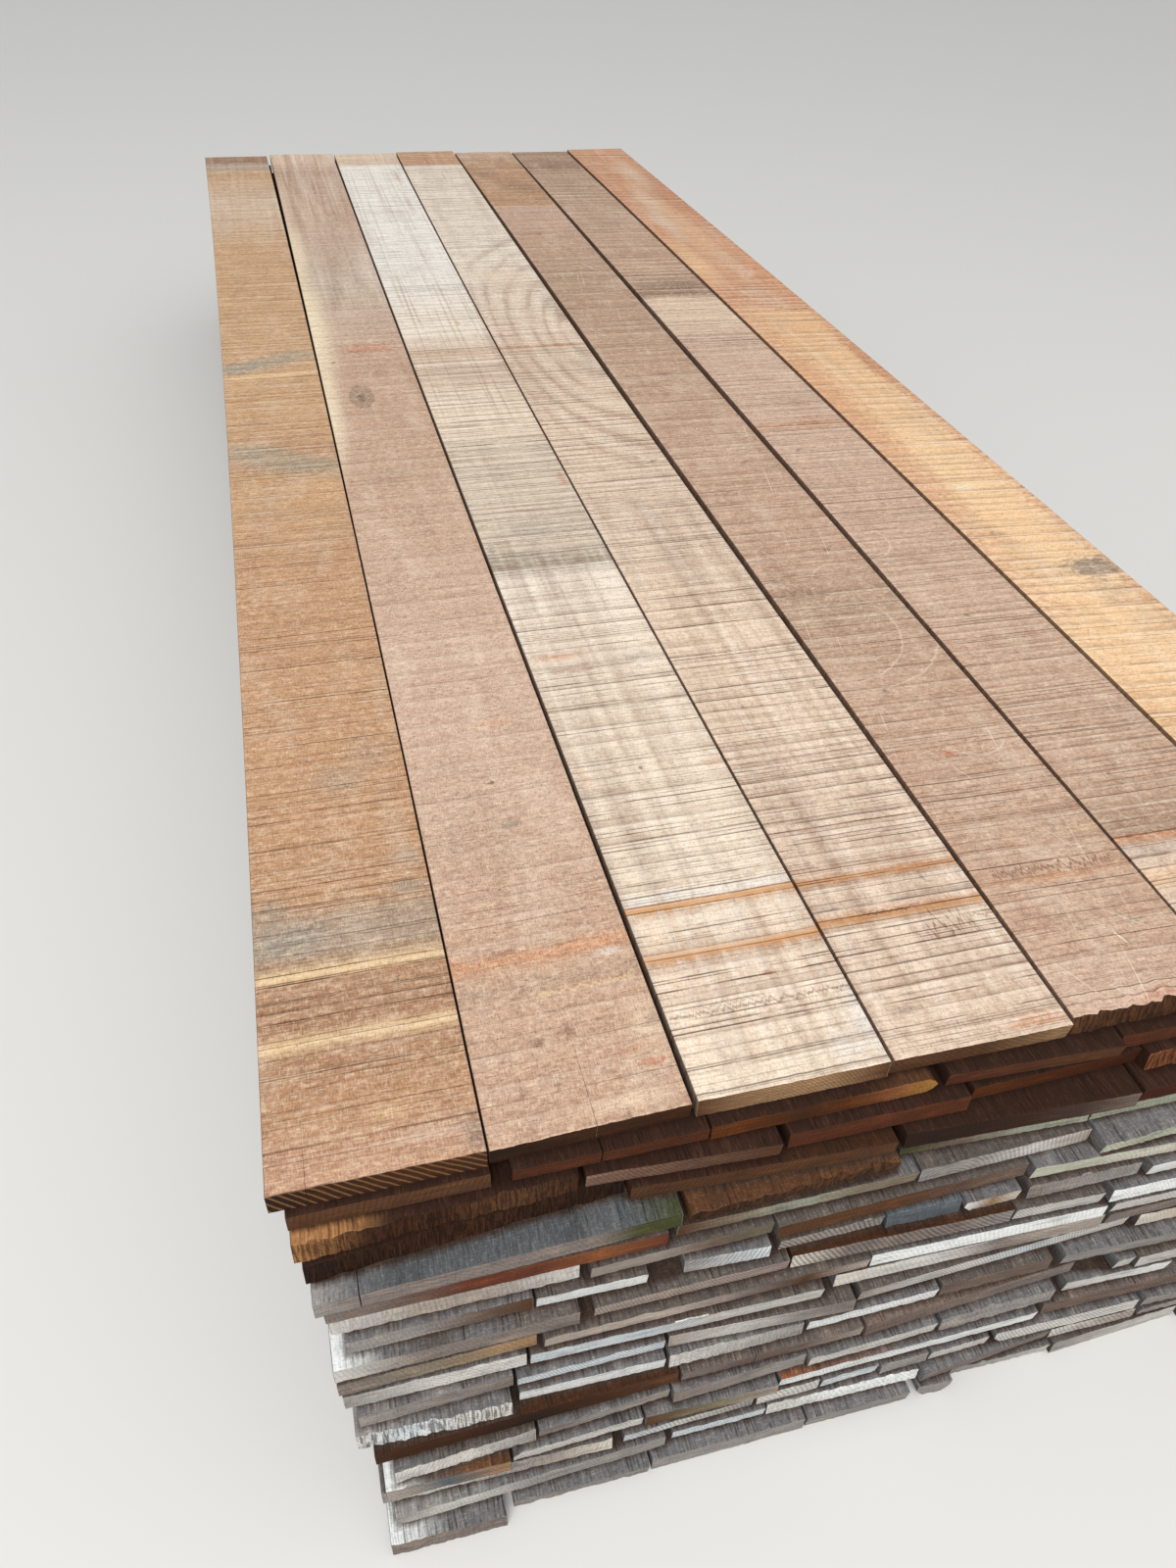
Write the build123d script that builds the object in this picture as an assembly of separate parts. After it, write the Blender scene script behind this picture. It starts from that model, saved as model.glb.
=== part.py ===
from build123d import *
import os

# A stack of rough-sawn boards, laid dead flat in nineteen layers.
# X runs across the boards, from left to right for someone facing their near ends.
# Y runs along the boards, away from the near ends, and Z is up. Millimetres.

# Driving sizes
BOARD_LENGTH = 4000     # the length that the boards are sold in
TOP_THICKNESS = 28      # the boards of the top layer
BOARD_THICKNESS = 25    # the boards of the layers below, rough-sawn from one inch
END_STEP = 10           # how much further each layer's near ends stand out than the one above
SIDE_STEP = 3           # how much further to the right each layer starts than the one above
WIDTH_STEP = 20         # the boards are sorted into widths that go up by this
TOP_STEPS = 11          # the top boards' width, in steps
NARROWEST_JOINT = 2     # closest two neighbours in one layer lie
WANE = 11               # leg of the slanted cut where a bark edge was left on a board
WANE_SHARE = 0.45       # most that one slanted cut takes of a board's thickness

# Lengths are cut a little over or under, in a run that repeats along each layer.
LENGTH_SPREAD = [4, -9, 13, -3, 17, 0, -12, 8, -6, 11, 2]

# Top layer: what each board is over its width in steps at its near end, its middle and its
# far end, and the joint to its left in the same three places. The boards have crook, so
# both sides are bent.
TOP_OVER = [
    (-3, -10, -9),
    (-3, -9, 0),
    (3, -5, 0),
    (3, -3, -11),
    (0, -6, -11),
    (-6, -10, -12),
    (8, 1, -6),
]
TOP_JOINTS = [
    (0, 0, 0),
    (2, 4, 12),
    (6, 4, 6),
    (4, 4, 6),
    (4, 12, 4),
    (4, 16, 7),
    (5, 7, 8),
]
TOP_CROOK = (0, 11, -3)     # the left side of the first board, near, middle and far

# How far the near end of each top board stands out, at its left and right corner.
TOP_ENDS = [(0, 2), (1, -2), (-1, 2), (0, 4), (4, 8), (6, 3), (2, 7)]

# Top boards that were sawn thinner than TOP_THICKNESS, by how much.
TOP_THINNER = {2: 2, 4: 1, 6: 2}

# Lower layers, from the second one down. Each has what its thickness is over
# BOARD_THICKNESS, how far it starts past its side step, and its boards from left to right:
# the joint before a board, its width in steps, what it is over that, and how far its near
# end's left and right corner stand out past the layer's end step. The widths of a layer
# add up to as many steps as those of the top layer.
LAYERS = [
    (-2, 12, [(0, 10, 3, 0, 2), (22, 11, -7, 3, 6), (2, 14, -11, 6, 8), (11, 11, 1, 7, 19),
              (4, 11, -2, 9, 15), (6, 11, -15, 2, 8), (5, 9, -10, 10, 4)]),
    (2, 10, [(0, 15, -7, 14, 8), (7, 11, -5, 3, 18), (11, 11, -2, 12, 16), (8, 11, 1, 7, 6),
             (4, 11, 10, 23, 23), (6, 10, -10, 16, 10), (5, 8, -10, 8, 18)]),
    (2, 14, [(0, 17, -3, 15, -3), (3, 15, 4, 6, 24), (13, 15, -6, 20, 36), (5, 12, 0, 33, 38),
             (7, 9, 0, 28, 30), (4, 9, -13, 22, 17)]),
    (-1, 15, [(0, 19, 8, 27, 24), (8, 13, -11, 30, 25), (12, 12, -1, 6, 19),
              (2, 13, -5, 19, 26), (7, 11, 0, 22, 18), (5, 9, -7, 15, 20)]),
    (-1, 20, [(0, 18, 4, 15, 20), (12, 15, -13, 15, 19), (3, 11, 3, 20, 20),
              (4, 13, 2, 43, 38), (8, 11, -12, 32, 36), (6, 9, 5, 25, 30)]),
    (1, 19, [(0, 13, 4, 7, 11), (11, 11, -9, 15, 15), (3, 16, -4, 22, 21), (3, 13, 8, 28, 43),
             (9, 10, -10, 35, 32), (5, 14, 0, 28, 30)]),
    (-1, 29, [(0, 10, -2, 9, 10), (3, 7, -16, 11, 15), (43, 6, -20, 13, 19),
              (12, 7, -12, 16, 17), (3, 5, -6, 22, 24), (2, 4, -7, 27, 27),
              (11, 8, -9, 30, 34), (10, 7, -20, 38, 42), (6, 8, -10, 35, 38),
              (4, 6, -10, 30, 34), (8, 9, 0, 28, 25)]),
    (1, 9, [(0, 13, 3, 14, 18), (17, 12, -12, 15, 18), (3, 14, -2, 17, 29),
            (3, 6, -3, 29, 35), (11, 10, 0, 37, 46), (6, 12, 0, 40, 38),
            (5, 10, -10, 32, 36)]),
    (-1, 7, [(0, 11, -6, 9, 9), (7, 19, 6, 15, 20), (3, 15, 7, 19, 32), (11, 12, -10, 31, 39),
             (5, 11, -5, 36, 34), (4, 9, -2, 28, 31)]),
    (2, 7, [(0, 10, -2, 3, 7), (4, 17, 4, 8, 20), (19, 18, -5, 11, 23), (6, 11, -10, 23, 26),
            (4, 12, -10, 24, 20), (7, 9, 2, 21, 27)]),
    (1, 16, [(0, 9, -11, 6, 5), (4, 9, -9, 8, 9), (5, 12, -15, 8, 23), (10, 19, -8, 15, 10),
             (13, 9, 0, 15, 21), (5, 9, 5, 18, 15), (6, 10, 4, 14, 19)]),
    (2, 7, [(0, 9, -10, 12, 19), (10, 9, -11, 4, 10), (5, 8, 5, 12, 15), (7, 9, -11, 13, 15),
            (5, 8, -10, 14, 17), (19, 9, -10, 17, 26), (5, 8, 0, 20, 18), (4, 8, 5, 16, 21),
            (6, 9, -2, 14, 11)]),
    (-1, 20, [(0, 18, -11, 10, 10), (3, 12, -12, 12, 16), (4, 15, -9, 17, 9),
              (54, 2, -13, 21, 21), (3, 11, -15, 25, 30), (5, 10, -10, 20, 23),
              (6, 9, 0, 18, 14)]),
    (1, 35, [(0, 8, -1, 16, 12), (4, 8, -3, 11, 6), (3, 9, -13, 13, 11), (3, 9, -11, 16, 16),
             (6, 8, -1, 17, 18), (19, 8, -10, 12, 20), (5, 10, -10, 8, 10),
             (6, 9, -10, 13, 16), (4, 8, -2, 15, 10)]),
    (0, 19, [(0, 7, 0, 13, 17), (4, 8, -6, 10, 9), (3, 8, 5, 11, 16), (4, 18, -13, 11, 17),
             (13, 12, 0, 12, 22), (5, 12, -10, 15, 12), (5, 12, -8, 10, 14)]),
    (0, 10, [(0, 14, -13, -2, 8), (14, 8, 2, 5, 5), (6, 4, 1, 5, 6), (3, 4, -5, 7, 7),
             (3, 3, 5, 10, 10), (3, 4, 0, 11, 11), (10, 11, -14, 12, 19),
             (10, 8, -10, 20, 26), (6, 11, -10, 18, 15), (5, 10, -4, 12, 16)]),
    (-1, 18, [(0, 16, 1, 6, 3), (10, 6, -2, -1, 2), (3, 10, 0, 2, 10), (3, 10, -14, 16, 7),
              (3, 7, -15, 7, 11), (8, 8, -10, 14, 18), (5, 11, 0, 12, 9), (6, 9, 4, 7, 11)]),
    (2, 6, [(0, 7, -8, 17, 21), (11, 8, 3, 7, 11), (5, 10, -4, 7, 10), (3, 7, -2, 10, 13),
            (13, 3, -14, 12, 14), (6, 7, 0, 2, 7), (5, 10, -10, 8, 5), (7, 8, 0, 10, 13),
            (5, 10, -15, 6, 4), (4, 7, 5, 4, 8)]),
]

# Boards of the lower layers, as (layer, board), that were sawn thinner, by how much.
THINNER = {(3, 2): 2, (7, 3): 2, (9, 2): 2, (12, 2): 3, (13, 4): 2,
           (15, 2): 2, (16, 3): 3, (17, 3): 2, (17, 5): 2, (18, 5): 2}

# Boards with wane, as (layer, board), and the long edges that it slants.
UPPER_LEFT = (1, 0)
UPPER_RIGHT = (1, 1)
LOWER_LEFT = (0, 0)
LOWER_RIGHT = (0, 1)
WANEY = {
    (2, 3): [UPPER_RIGHT, LOWER_RIGHT],
    (6, 5): [UPPER_LEFT],
    (8, 6): [LOWER_LEFT],
    (11, 6): [UPPER_RIGHT],
    (14, 7): [LOWER_RIGHT],
    (16, 2): [UPPER_LEFT],
    (17, 7): [LOWER_LEFT],
    (18, 1): [LOWER_LEFT],
    (19, 5): [LOWER_LEFT, LOWER_RIGHT],
}


def far_end(out, spread):
    """Place of a board's far end, from how far its near end stands out."""
    return BOARD_LENGTH + spread - out


def spread_of(number):
    """How much longer than BOARD_LENGTH the board with this number was cut."""
    return LENGTH_SPREAD[number % len(LENGTH_SPREAD)]


def bent_edge(near, middle, far):
    """A long side of a board with crook, through a point half way along it."""
    pull = (2 * middle[0] - (near[0] + far[0]) / 2, 2 * middle[1] - (near[1] + far[1]) / 2)
    return Bezier(near, pull, far)


def crooked_board(left, right, ends, spread, bottom, thickness):
    """A top board. left and right are its sides' places near, middle and far."""
    out_left, out_right = ends
    middle = BOARD_LENGTH / 2
    near_left = (left[0], -out_left)
    near_right = (right[0], -out_right)
    far_left = (left[2], far_end(out_right, spread))
    far_right = (right[2], far_end(out_left, spread))
    outline = [
        Line(near_left, near_right),
        bent_edge(near_right, (right[1], middle), far_right),
        Line(far_right, far_left),
        bent_edge(far_left, (left[1], middle), near_left),
    ]
    return extrude(Pos(0, 0, bottom) * make_face(outline), amount=thickness).solid()


def straight_board(left, width, ends, spread, bottom, thickness, waney=()):
    """A board of a lower layer, with wane on the long edges that waney lists."""
    out_left, out_right = ends
    right = left + width
    outline = Polyline(
        (left, -out_left),
        (right, -out_right),
        (right, far_end(out_left, spread)),
        (left, far_end(out_right, spread)),
        close=True,
    )
    board = extrude(Pos(0, 0, bottom) * make_face(outline), amount=thickness)
    cut = min(WANE, WANE_SHARE * thickness)
    for level, side in waney:
        edges = board.edges().filter_by(Axis.Y).group_by(Axis.Z)[-level].sort_by(Axis.X)
        board = chamfer(edges[-side], cut)
    return board.solid()


def top_boards(bottom):
    """The top layer, one solid a board, from left to right."""
    boards = []
    place = list(TOP_CROOK)
    for number, over in enumerate(TOP_OVER, start=1):
        left = [x + joint for x, joint in zip(place, TOP_JOINTS[number - 1])]
        right = [x + TOP_STEPS * WIDTH_STEP + more for x, more in zip(left, over)]
        thickness = TOP_THICKNESS - TOP_THINNER.get(number, 0)
        ends = TOP_ENDS[number - 1]
        boards.append(crooked_board(left, right, ends, spread_of(number), bottom, thickness))
        place = right
    return boards


def layer_thickness(layer):
    """Thickness of a lower layer, counted from 2 at the second layer from the top."""
    return BOARD_THICKNESS + LAYERS[layer - 2][0]


def lower_layer(layer, bottom):
    """The boards of one lower layer, on a bottom that is already laid."""
    _, start, rows = LAYERS[layer - 2]
    steps = layer - 1
    left = steps * SIDE_STEP + start
    boards = []
    for number, (joint, width_steps, over, out_left, out_right) in enumerate(rows, start=1):
        if number > 1:
            left += max(joint, NARROWEST_JOINT)
        width = width_steps * WIDTH_STEP + over
        thickness = layer_thickness(layer) - THINNER.get((layer, number), 0)
        ends = (steps * END_STEP + out_left, steps * END_STEP + out_right)
        spread = spread_of(layer + number)
        waney = WANEY.get((layer, number), [])
        boards.append(straight_board(left, width, ends, spread, bottom, thickness, waney))
        left += width
    return boards


# The layers are laid from the ground up, each one flat on the one below it.
nodes = {}
bottom = 0
for layer in range(len(LAYERS) + 1, 1, -1):
    nodes[f"layer_{layer:02d}"] = lower_layer(layer, bottom)
    bottom += layer_thickness(layer)
for number, board in enumerate(top_boards(bottom), start=1):
    nodes[f"top_board_{number}"] = [board]

# The origin is the middle of the stack's underside.
everything = [board for boards in nodes.values() for board in boards]
box = Compound(everything).bounding_box()
place = Pos(-box.center().X, -box.center().Y, -box.min.Z)

os.makedirs("parts", exist_ok=True)
for name, boards in nodes.items():
    placed = [place * board for board in boards]
    piece = placed[0] if len(placed) == 1 else Compound(placed)
    export_step(piece, f"parts/{name}.step")
    print(name, len(boards), "boards")
print("stack", [round(size, 1) for size in box.size])
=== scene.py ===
# %% [markdown]
# # A stack of rough-sawn boards
# Nineteen layers of boards lie straight on each other. The top layer is fresh from the saw,
# the three below it are brown and half fresh, and the rest has gone grey in the weather.
# The CAD model gives every board its place and size. This script gives each one the
# torn ends, worn edges, saw marks and stains of the real thing.

# %% Load the frame
import bpy
import bmesh
import math
import numpy as np
from mathutils import Matrix, Vector, noise


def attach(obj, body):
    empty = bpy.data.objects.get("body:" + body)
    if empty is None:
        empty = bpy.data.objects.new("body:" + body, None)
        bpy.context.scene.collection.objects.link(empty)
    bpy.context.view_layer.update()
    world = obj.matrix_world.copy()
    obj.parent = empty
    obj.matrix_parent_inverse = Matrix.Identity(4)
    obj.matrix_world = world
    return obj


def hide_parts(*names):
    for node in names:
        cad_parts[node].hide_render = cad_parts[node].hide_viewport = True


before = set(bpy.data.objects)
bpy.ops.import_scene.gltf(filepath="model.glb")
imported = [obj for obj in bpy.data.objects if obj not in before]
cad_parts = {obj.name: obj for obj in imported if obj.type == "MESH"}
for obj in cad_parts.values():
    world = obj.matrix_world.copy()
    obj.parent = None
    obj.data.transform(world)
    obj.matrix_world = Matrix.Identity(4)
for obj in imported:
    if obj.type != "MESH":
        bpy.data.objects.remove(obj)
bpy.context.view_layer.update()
MM = 0.001
LAYER_NODES = [f"layer_{number:02d}" for number in range(2, 20)]
TOP_NODES = [f"top_board_{number}" for number in range(1, 8)]

# %% [markdown]
# ## Floor, light and camera
# The light comes first, because every colour is judged under it. An even white sky and one
# large soft lamp together show a colour about as it is written. The lamp hangs in front, so
# that it lights the near ends, and its slant lets the saw marks cast their small shadows.
# The camera stands where the photographer stood: above the near left corner, looking along
# the boards and down.

# %% Colours are written as on a screen
def colour(code):
    """An sRGB hex code as the linear RGBA that Blender's sockets take."""
    parts = [int(code[i:i + 2], 16) / 255 for i in (1, 3, 5)]
    return [c / 12.92 if c <= 0.04045 else ((c + 0.055) / 1.055) ** 2.4 for c in parts] + [1]


def add(tree, kind, inputs=None, output=0, **settings):
    """Adds a shader node with its settings and its inputs' values or links."""
    made = tree.nodes.new("ShaderNode" + kind)
    for name, value in settings.items():
        setattr(made, name, value)
    for socket, value in (inputs or {}).items():
        if isinstance(value, bpy.types.NodeSocket):
            tree.links.new(value, made.inputs[socket])
        else:
            made.inputs[socket].default_value = value
    return made.outputs[output]


def new_material(name):
    """An empty node material and its Principled shader."""
    material = bpy.data.materials.new(name)
    material.use_nodes = True
    tree = material.node_tree
    return material, tree, tree.nodes["Principled BSDF"]


def deselect():
    if bpy.context.object and bpy.context.object.mode != "OBJECT":
        bpy.ops.object.mode_set(mode="OBJECT")
    bpy.ops.object.select_all(action="DESELECT")


# %% Rays that show what they hit
def seen_ray(tree):
    """Is 1 for what the camera sees, straight or in a gloss or a glass, and 0 for bounced light."""
    rays = add(tree, "LightPath")
    seen = add(tree, "Math", {0: rays, 1: rays.node.outputs["Is Glossy Ray"]}, operation="MAXIMUM")
    return add(tree, "Math", {0: seen, 1: rays.node.outputs["Is Transmission Ray"]}, operation="MAXIMUM")


# %% Floor
deselect()
bpy.ops.mesh.primitive_plane_add(size=30, location=(0, 0, 0))
floor = bpy.context.object
floor.name = "floor"
paper, tree, shader = new_material("matt pale studio floor")
seen = seen_ray(tree)
# Matt paper has no gloss, so it is rough all over. Seen, it is pale. What it throws back up
# at the boards is duller, so that the low layers and the gaps stay dark.
tone = add(tree, "Mix", {0: seen, 6: colour("#8b8783"), 7: colour("#d9d7d3")}, 2, data_type="RGBA")
tree.links.new(tone, shader.inputs["Base Color"])
shader.inputs["Roughness"].default_value = 0.9
floor.data.materials.append(paper)
print("floor", tuple(floor.dimensions))

# %% Sky and lamp
LIT_BY_SKY, SEEN_SKY = 0.74, 0.92       # strength on the boards, and behind them
world = bpy.data.worlds.new("overcast studio")
bpy.context.scene.world = world
world.use_nodes = True
sky = world.node_tree
seen = seen_ray(sky)
strength = add(sky, "Mix", {0: seen, 2: LIT_BY_SKY, 3: SEEN_SKY})
background = sky.nodes["Background"]
background.inputs["Color"].default_value = colour("#f4f6f8")
sky.links.new(strength, background.inputs["Strength"])

lamp_data = bpy.data.lights.new("soft lamp", "AREA")
lamp_data.shape = "DISK"
lamp_data.size = 6.5
lamp_data.energy = 690
lamp = bpy.data.objects.new("soft lamp", lamp_data)
bpy.context.scene.collection.objects.link(lamp)
lamp.location = (-2.55, -6.7, 7.8)
aim = Vector((0, 0, 0.3)) - lamp.location
lamp.rotation_euler = aim.to_track_quat("-Z", "Y").to_euler()
print("lamp of", lamp_data.size, "m,", round(aim.length, 2), "m from the stack")

# %% Camera
CAMERA_PLACE = Vector((-0.6805, -2.477, 1.498))
CAMERA_RIGHT = Vector((0.9647, -0.2601, 0.0410))
CAMERA_UP = Vector((0.1449, 0.6541, 0.7424))
CAMERA_LENS = 25.3125       # mm, on a frame 36 mm along its longer side

camera_data = bpy.data.cameras.new("camera")
camera_data.lens = CAMERA_LENS
camera_data.sensor_width = 36
camera_data.sensor_fit = "AUTO"
camera_data.clip_end = 100
camera = bpy.data.objects.new("camera", camera_data)
bpy.context.scene.collection.objects.link(camera)
right = CAMERA_RIGHT.normalized()
back = right.cross(CAMERA_UP).normalized()
turn = Matrix((right, back.cross(right), back)).transposed()
camera.matrix_world = Matrix.Translation(CAMERA_PLACE) @ turn.to_4x4()
bpy.context.scene.camera = camera
bpy.context.scene.view_settings.view_transform = "Standard"
print("camera at", tuple(CAMERA_PLACE))

# %% [markdown]
# ## Measuring the boards
# A piece that stands for a CAD node has to stay where the node is, so each board is read
# off the CAD model: its two sides, its two ends, its underside and its top. The CAD mesh
# itself is never changed. A copy of it is merged, split into loose boards and measured.

# %% Read each board's place from a copy of the CAD mesh
CLOSE = 0.0005      # m, how near two corners lie that count as one place


def measured_boards(node_name):
    """The places of each board of a CAD node, from left to right, in metres."""
    deselect()
    copy = bpy.data.objects.new("measured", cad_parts[node_name].data.copy())
    bpy.context.scene.collection.objects.link(copy)
    bpy.context.view_layer.objects.active = copy
    copy.select_set(True)
    bpy.ops.object.mode_set(mode="EDIT")
    bpy.ops.mesh.select_all(action="SELECT")
    bpy.ops.mesh.remove_doubles(threshold=0.00001)
    bpy.ops.mesh.separate(type="LOOSE")
    bpy.ops.object.mode_set(mode="OBJECT")
    found = []
    for part in list(bpy.context.selected_objects):
        points = np.array([v.co for v in part.data.vertices])
        found.append(measure(points, crooked=node_name in TOP_NODES))
        mesh = part.data
        bpy.data.objects.remove(part)
        bpy.data.meshes.remove(mesh)
    return sorted(found, key=lambda place: place["left"][1].min())


def measure(points, crooked):
    """Sides, ends, underside, top and wane of one board, from its corner points."""
    x, y, z = points.T
    near = y < y.mean()
    place = {"low": z.min(), "high": z.max(), "wane": {}}
    halves = {"left": (x < (x.min() + x.max()) / 2, x.min()),
              "right": (x >= (x.min() + x.max()) / 2, x.max())}
    for side, (half, outer) in halves.items():
        if not crooked:
            half = half & (np.abs(x - outer) < CLOSE)
            for level in ("low", "high"):
                gap = np.abs(z[half & near] - place[level]).min()
                if gap > CLOSE:
                    place["wane"][side, level] = gap
        order = np.argsort(y[half])
        place[side] = (y[half][order], x[half][order])
        place["near", side] = y[half].min()
        place["far", side] = y[half].max()
    return place


boards = {name: measured_boards(name) for name in TOP_NODES + LAYER_NODES}
everything = [place for group in boards.values() for place in group]
print(len(everything), "boards,", sum(len(place["wane"]) for place in everything), "wane edges")

# %% [markdown]
# ## A blank board
# Every board starts from the same blank: a unit cube that is cut into a fine grid, with
# columns across, stations along and rows through its thickness. The blank is modelled once
# and copied. A copy's grid lines are then moved to where that board needs them: close
# together at the ends and edges, where the saw tore it, and far apart in between.

# %% Cut a unit cube into a grid
def blank(name, columns, stations, rows):
    """A unit cube with its edges cut evenly in each direction."""
    deselect()
    bpy.ops.mesh.primitive_cube_add(size=1, location=(0.5, 0.5, 0.5), calc_uvs=False)
    made = bpy.context.object
    made.name = name
    bpy.ops.object.transform_apply(location=True)
    bpy.ops.object.mode_set(mode="EDIT")
    bpy.ops.mesh.select_mode(type="EDGE")
    for axis, total in ((0, columns), (1, stations), (2, rows)):
        for pieces in total:
            grid = bmesh.from_edit_mesh(made.data)
            for edge in grid.edges:
                run = edge.verts[1].co - edge.verts[0].co
                edge.select_set(abs(run[axis]) > 0.9 * run.length)
            bmesh.update_edit_mesh(made.data)
            bpy.ops.mesh.subdivide(number_cuts=pieces - 1)
    bpy.ops.object.mode_set(mode="OBJECT")
    made.hide_render = True
    return made


# The pieces are written as factors, because one cut makes 100 pieces at most.
COLUMNS, ROWS = 44, 4
TOP_STATIONS, LAYER_STATIONS = 15 * 16, 16
top_blank = blank("blank_top_board", [COLUMNS], [15, 16], [ROWS])
layer_blank = blank("blank_board", [COLUMNS], [LAYER_STATIONS], [ROWS])
print("blanks with", len(top_blank.data.vertices), "and", len(layer_blank.data.vertices), "vertices")

# %% [markdown]
# ## Shaping a board
# A cross-cut with a worn chain tears the end, so no end is flat: it leans, the fibres stand
# out unevenly, bits of the upper edge break off, and drying opens short checks. Along the
# board the saw left the edges a little uneven. All of this takes wood away, so every move
# here goes inwards, and the board stays inside its CAD place. Moving the points of a grid
# with numpy does in one go what a sculptor would do board by board, and it gives the same
# result each time.

# %% Uneven wood
def uneven_at(xs, ys, zs):
    """Smooth noise from about -1 to 1 at each point, the same at each run."""
    return np.array([noise.noise(Vector(point)) for point in zip(xs, ys, zs)])


# %% Where the grid lines of one board go
ARRIS = 1.2 * MM            # width of the narrow strips along every edge
END_STATIONS = [0, 1.2, 4, 8, 16, 34, 80]    # mm from an end
WEATHERED_EDGE = 0.01       # m out from under the boards above: enough to be grey all over
END_FADE = 70 * MM          # how far from an end its faults reach
RAG_SIZE, FRAY_SIZE = 34 * MM, 7 * MM       # width of a ragged wave and of a bundle of fibres
CHECK_DEPTH, CHECK_NICK = 5, 9      # mm that a drying check cuts into the face and the end
PATTERN_STEP, PATTERN_LIFT = 0.61, 0.37     # m across and up the pattern, board by board
SMOOTH_BELOW = math.radians(28)     # edges sharper than this stay sharp


def grid_lines(total, length, checks=()):
    """Places of the columns across one board, even but for its edges and its checks."""
    lines = np.linspace(0, length, total + 1)
    lines[1], lines[-2] = ARRIS, length - ARRIS
    for place, _, gape in checks:
        middle = int(np.clip(round(place / length * total), 3, total - 3))
        lines[middle - 1:middle + 2] = place - gape, place, place + gape
    return np.sort(lines)


def station_lines(total, length):
    """Places of the stations along one board, close together at both ends."""
    ends = np.array(END_STATIONS) * MM
    inner = total + 1 - 2 * len(ends)
    middle = np.linspace(ends[-1], length - ends[-1], inner + 2)[1:-1]
    return np.concatenate([ends, middle, (length - ends)[::-1]])


# %% Shape one board
def shape_board(name, source, place, seed, habit, checks=(), above=()):
    """A board object from a blank. habit has the sizes of its faults, in millimetres."""
    mesh = source.data.copy()
    mesh.name = name
    made = bpy.data.objects.new(name, mesh)
    bpy.context.scene.collection.objects.link(made)
    unit = np.array([v.co for v in mesh.vertices])
    stations = TOP_STATIONS if source is top_blank else LAYER_STATIONS
    column, station, row = (np.rint(unit * (COLUMNS, stations, ROWS)).astype(int)).T
    width = place["right"][1].mean() - place["left"][1].mean()
    thickness = place["high"] - place["low"]
    length = place["far", "left"] - place["near", "left"]
    across = grid_lines(COLUMNS, width, checks)[column]
    along = station_lines(stations, length)[station]
    height = np.array([0, ARRIS, thickness / 2, thickness - ARRIS, thickness])[row]

    # The true place: a share of the way between the measured sides and ends.
    u, v = across / width, along / length
    near = place["near", "left"] * (1 - u) + place["near", "right"] * u
    far = place["far", "left"] * (1 - u) + place["far", "right"] * u
    y = near * (1 - v) + far * v
    x = np.interp(y, *place["left"]) * (1 - u) + np.interp(y, *place["right"]) * u

    # Ends: lean, ragged fibres and broken bits of the upper edge, fading out inwards.
    bit = height / thickness
    still = np.zeros(len(bit))
    far_half = v > 0.5
    from_end = np.where(far_half, length - along, along)
    shift = seed * 1.7 + far_half * 40
    fade = np.clip(1 - from_end / END_FADE, 0, 1) ** 2
    lean = habit["lean"] * (bit if seed % 2 else 1 - bit)
    rag = habit["rag"] * (0.5 + 0.5 * uneven_at(across / RAG_SIZE, shift, bit * 0.6))
    rag += habit["fray"] * (0.5 + 0.5 * uneven_at(across / FRAY_SIZE, shift + 9, bit * 0.7))
    chip = uneven_at(across / (habit["chip_size"] * MM), shift + 21, still)
    chip = habit["chip"] * np.clip(chip - 0.15, 0, 1) * 2.2 * bit ** 2
    inwards = (lean + rag + chip) * MM * fade
    y += np.where(far_half, -inwards, inwards)

    # Long faces and edges: shallow waves, and worn arrises.
    upper, lower = row == ROWS, row == 0
    wave = 0.5 + 0.5 * uneven_at(across / (60 * MM), along / (130 * MM), shift)
    z = place["low"] + height - upper * habit["wave"] * wave * MM
    z -= upper * chip * 0.45 * MM * np.clip(1 - from_end / (9 * MM), 0, 1)
    wear = uneven_at(along / (habit["edge_size"] * MM), shift + 5, u * 3 + bit)
    worn = (0.35 + habit["edge"] * np.clip(wear - 0.1, 0, 1) ** 1.5 * 3) * MM
    outer_left, outer_right = column == 0, column == COLUMNS
    x += (outer_left * 1.0 - outer_right * 1.0) * worn * (0.35 + 0.65 * (upper | lower))
    z += (lower * 0.6 - upper * 1.0) * worn * (outer_left | outer_right)
    tips = (station == 0) | (station == stations)
    z += (lower * 0.5 - upper * 0.8) * worn * tips

    # Wane: the corner is cut back to a slant.
    for (side, level), leg in place["wane"].items():
        in_x = across if side == "left" else width - across
        in_z = height if level == "low" else thickness - height
        over = np.clip(leg - in_x - in_z, 0, None) / 2
        over *= 1 + 0.25 * uneven_at(along / (90 * MM), shift + 31, still)
        x += over * (1 if side == "left" else -1)
        z += over * (1 if level == "low" else -1)

    # Checks: narrow grooves that run in from the near end.
    for check_place, check_length, gape in checks:
        line = np.abs(across - np.sort(across)[np.abs(np.sort(across) - check_place).argmin()])
        groove = (line < gape * 0.3) * np.clip(1 - along / check_length, 0, 1)
        z -= upper * groove * CHECK_DEPTH * MM
        y += (station == 0) * (line < gape * 0.3) * CHECK_NICK * MM

    mesh.vertices.foreach_set("co", np.stack([x, y, z], 1).astype(np.float32).ravel())
    mesh.update()
    # The long sides have weathered from end to end, in the tone of the board's middle.
    side = outer_left | outer_right
    bare = np.where(side, WEATHERED_EDGE, open_to_sky(x, y, above))
    dress_attributes(mesh, across, along, height, np.where(side, 0.5, u), seed, habit, bare)
    return made


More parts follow.
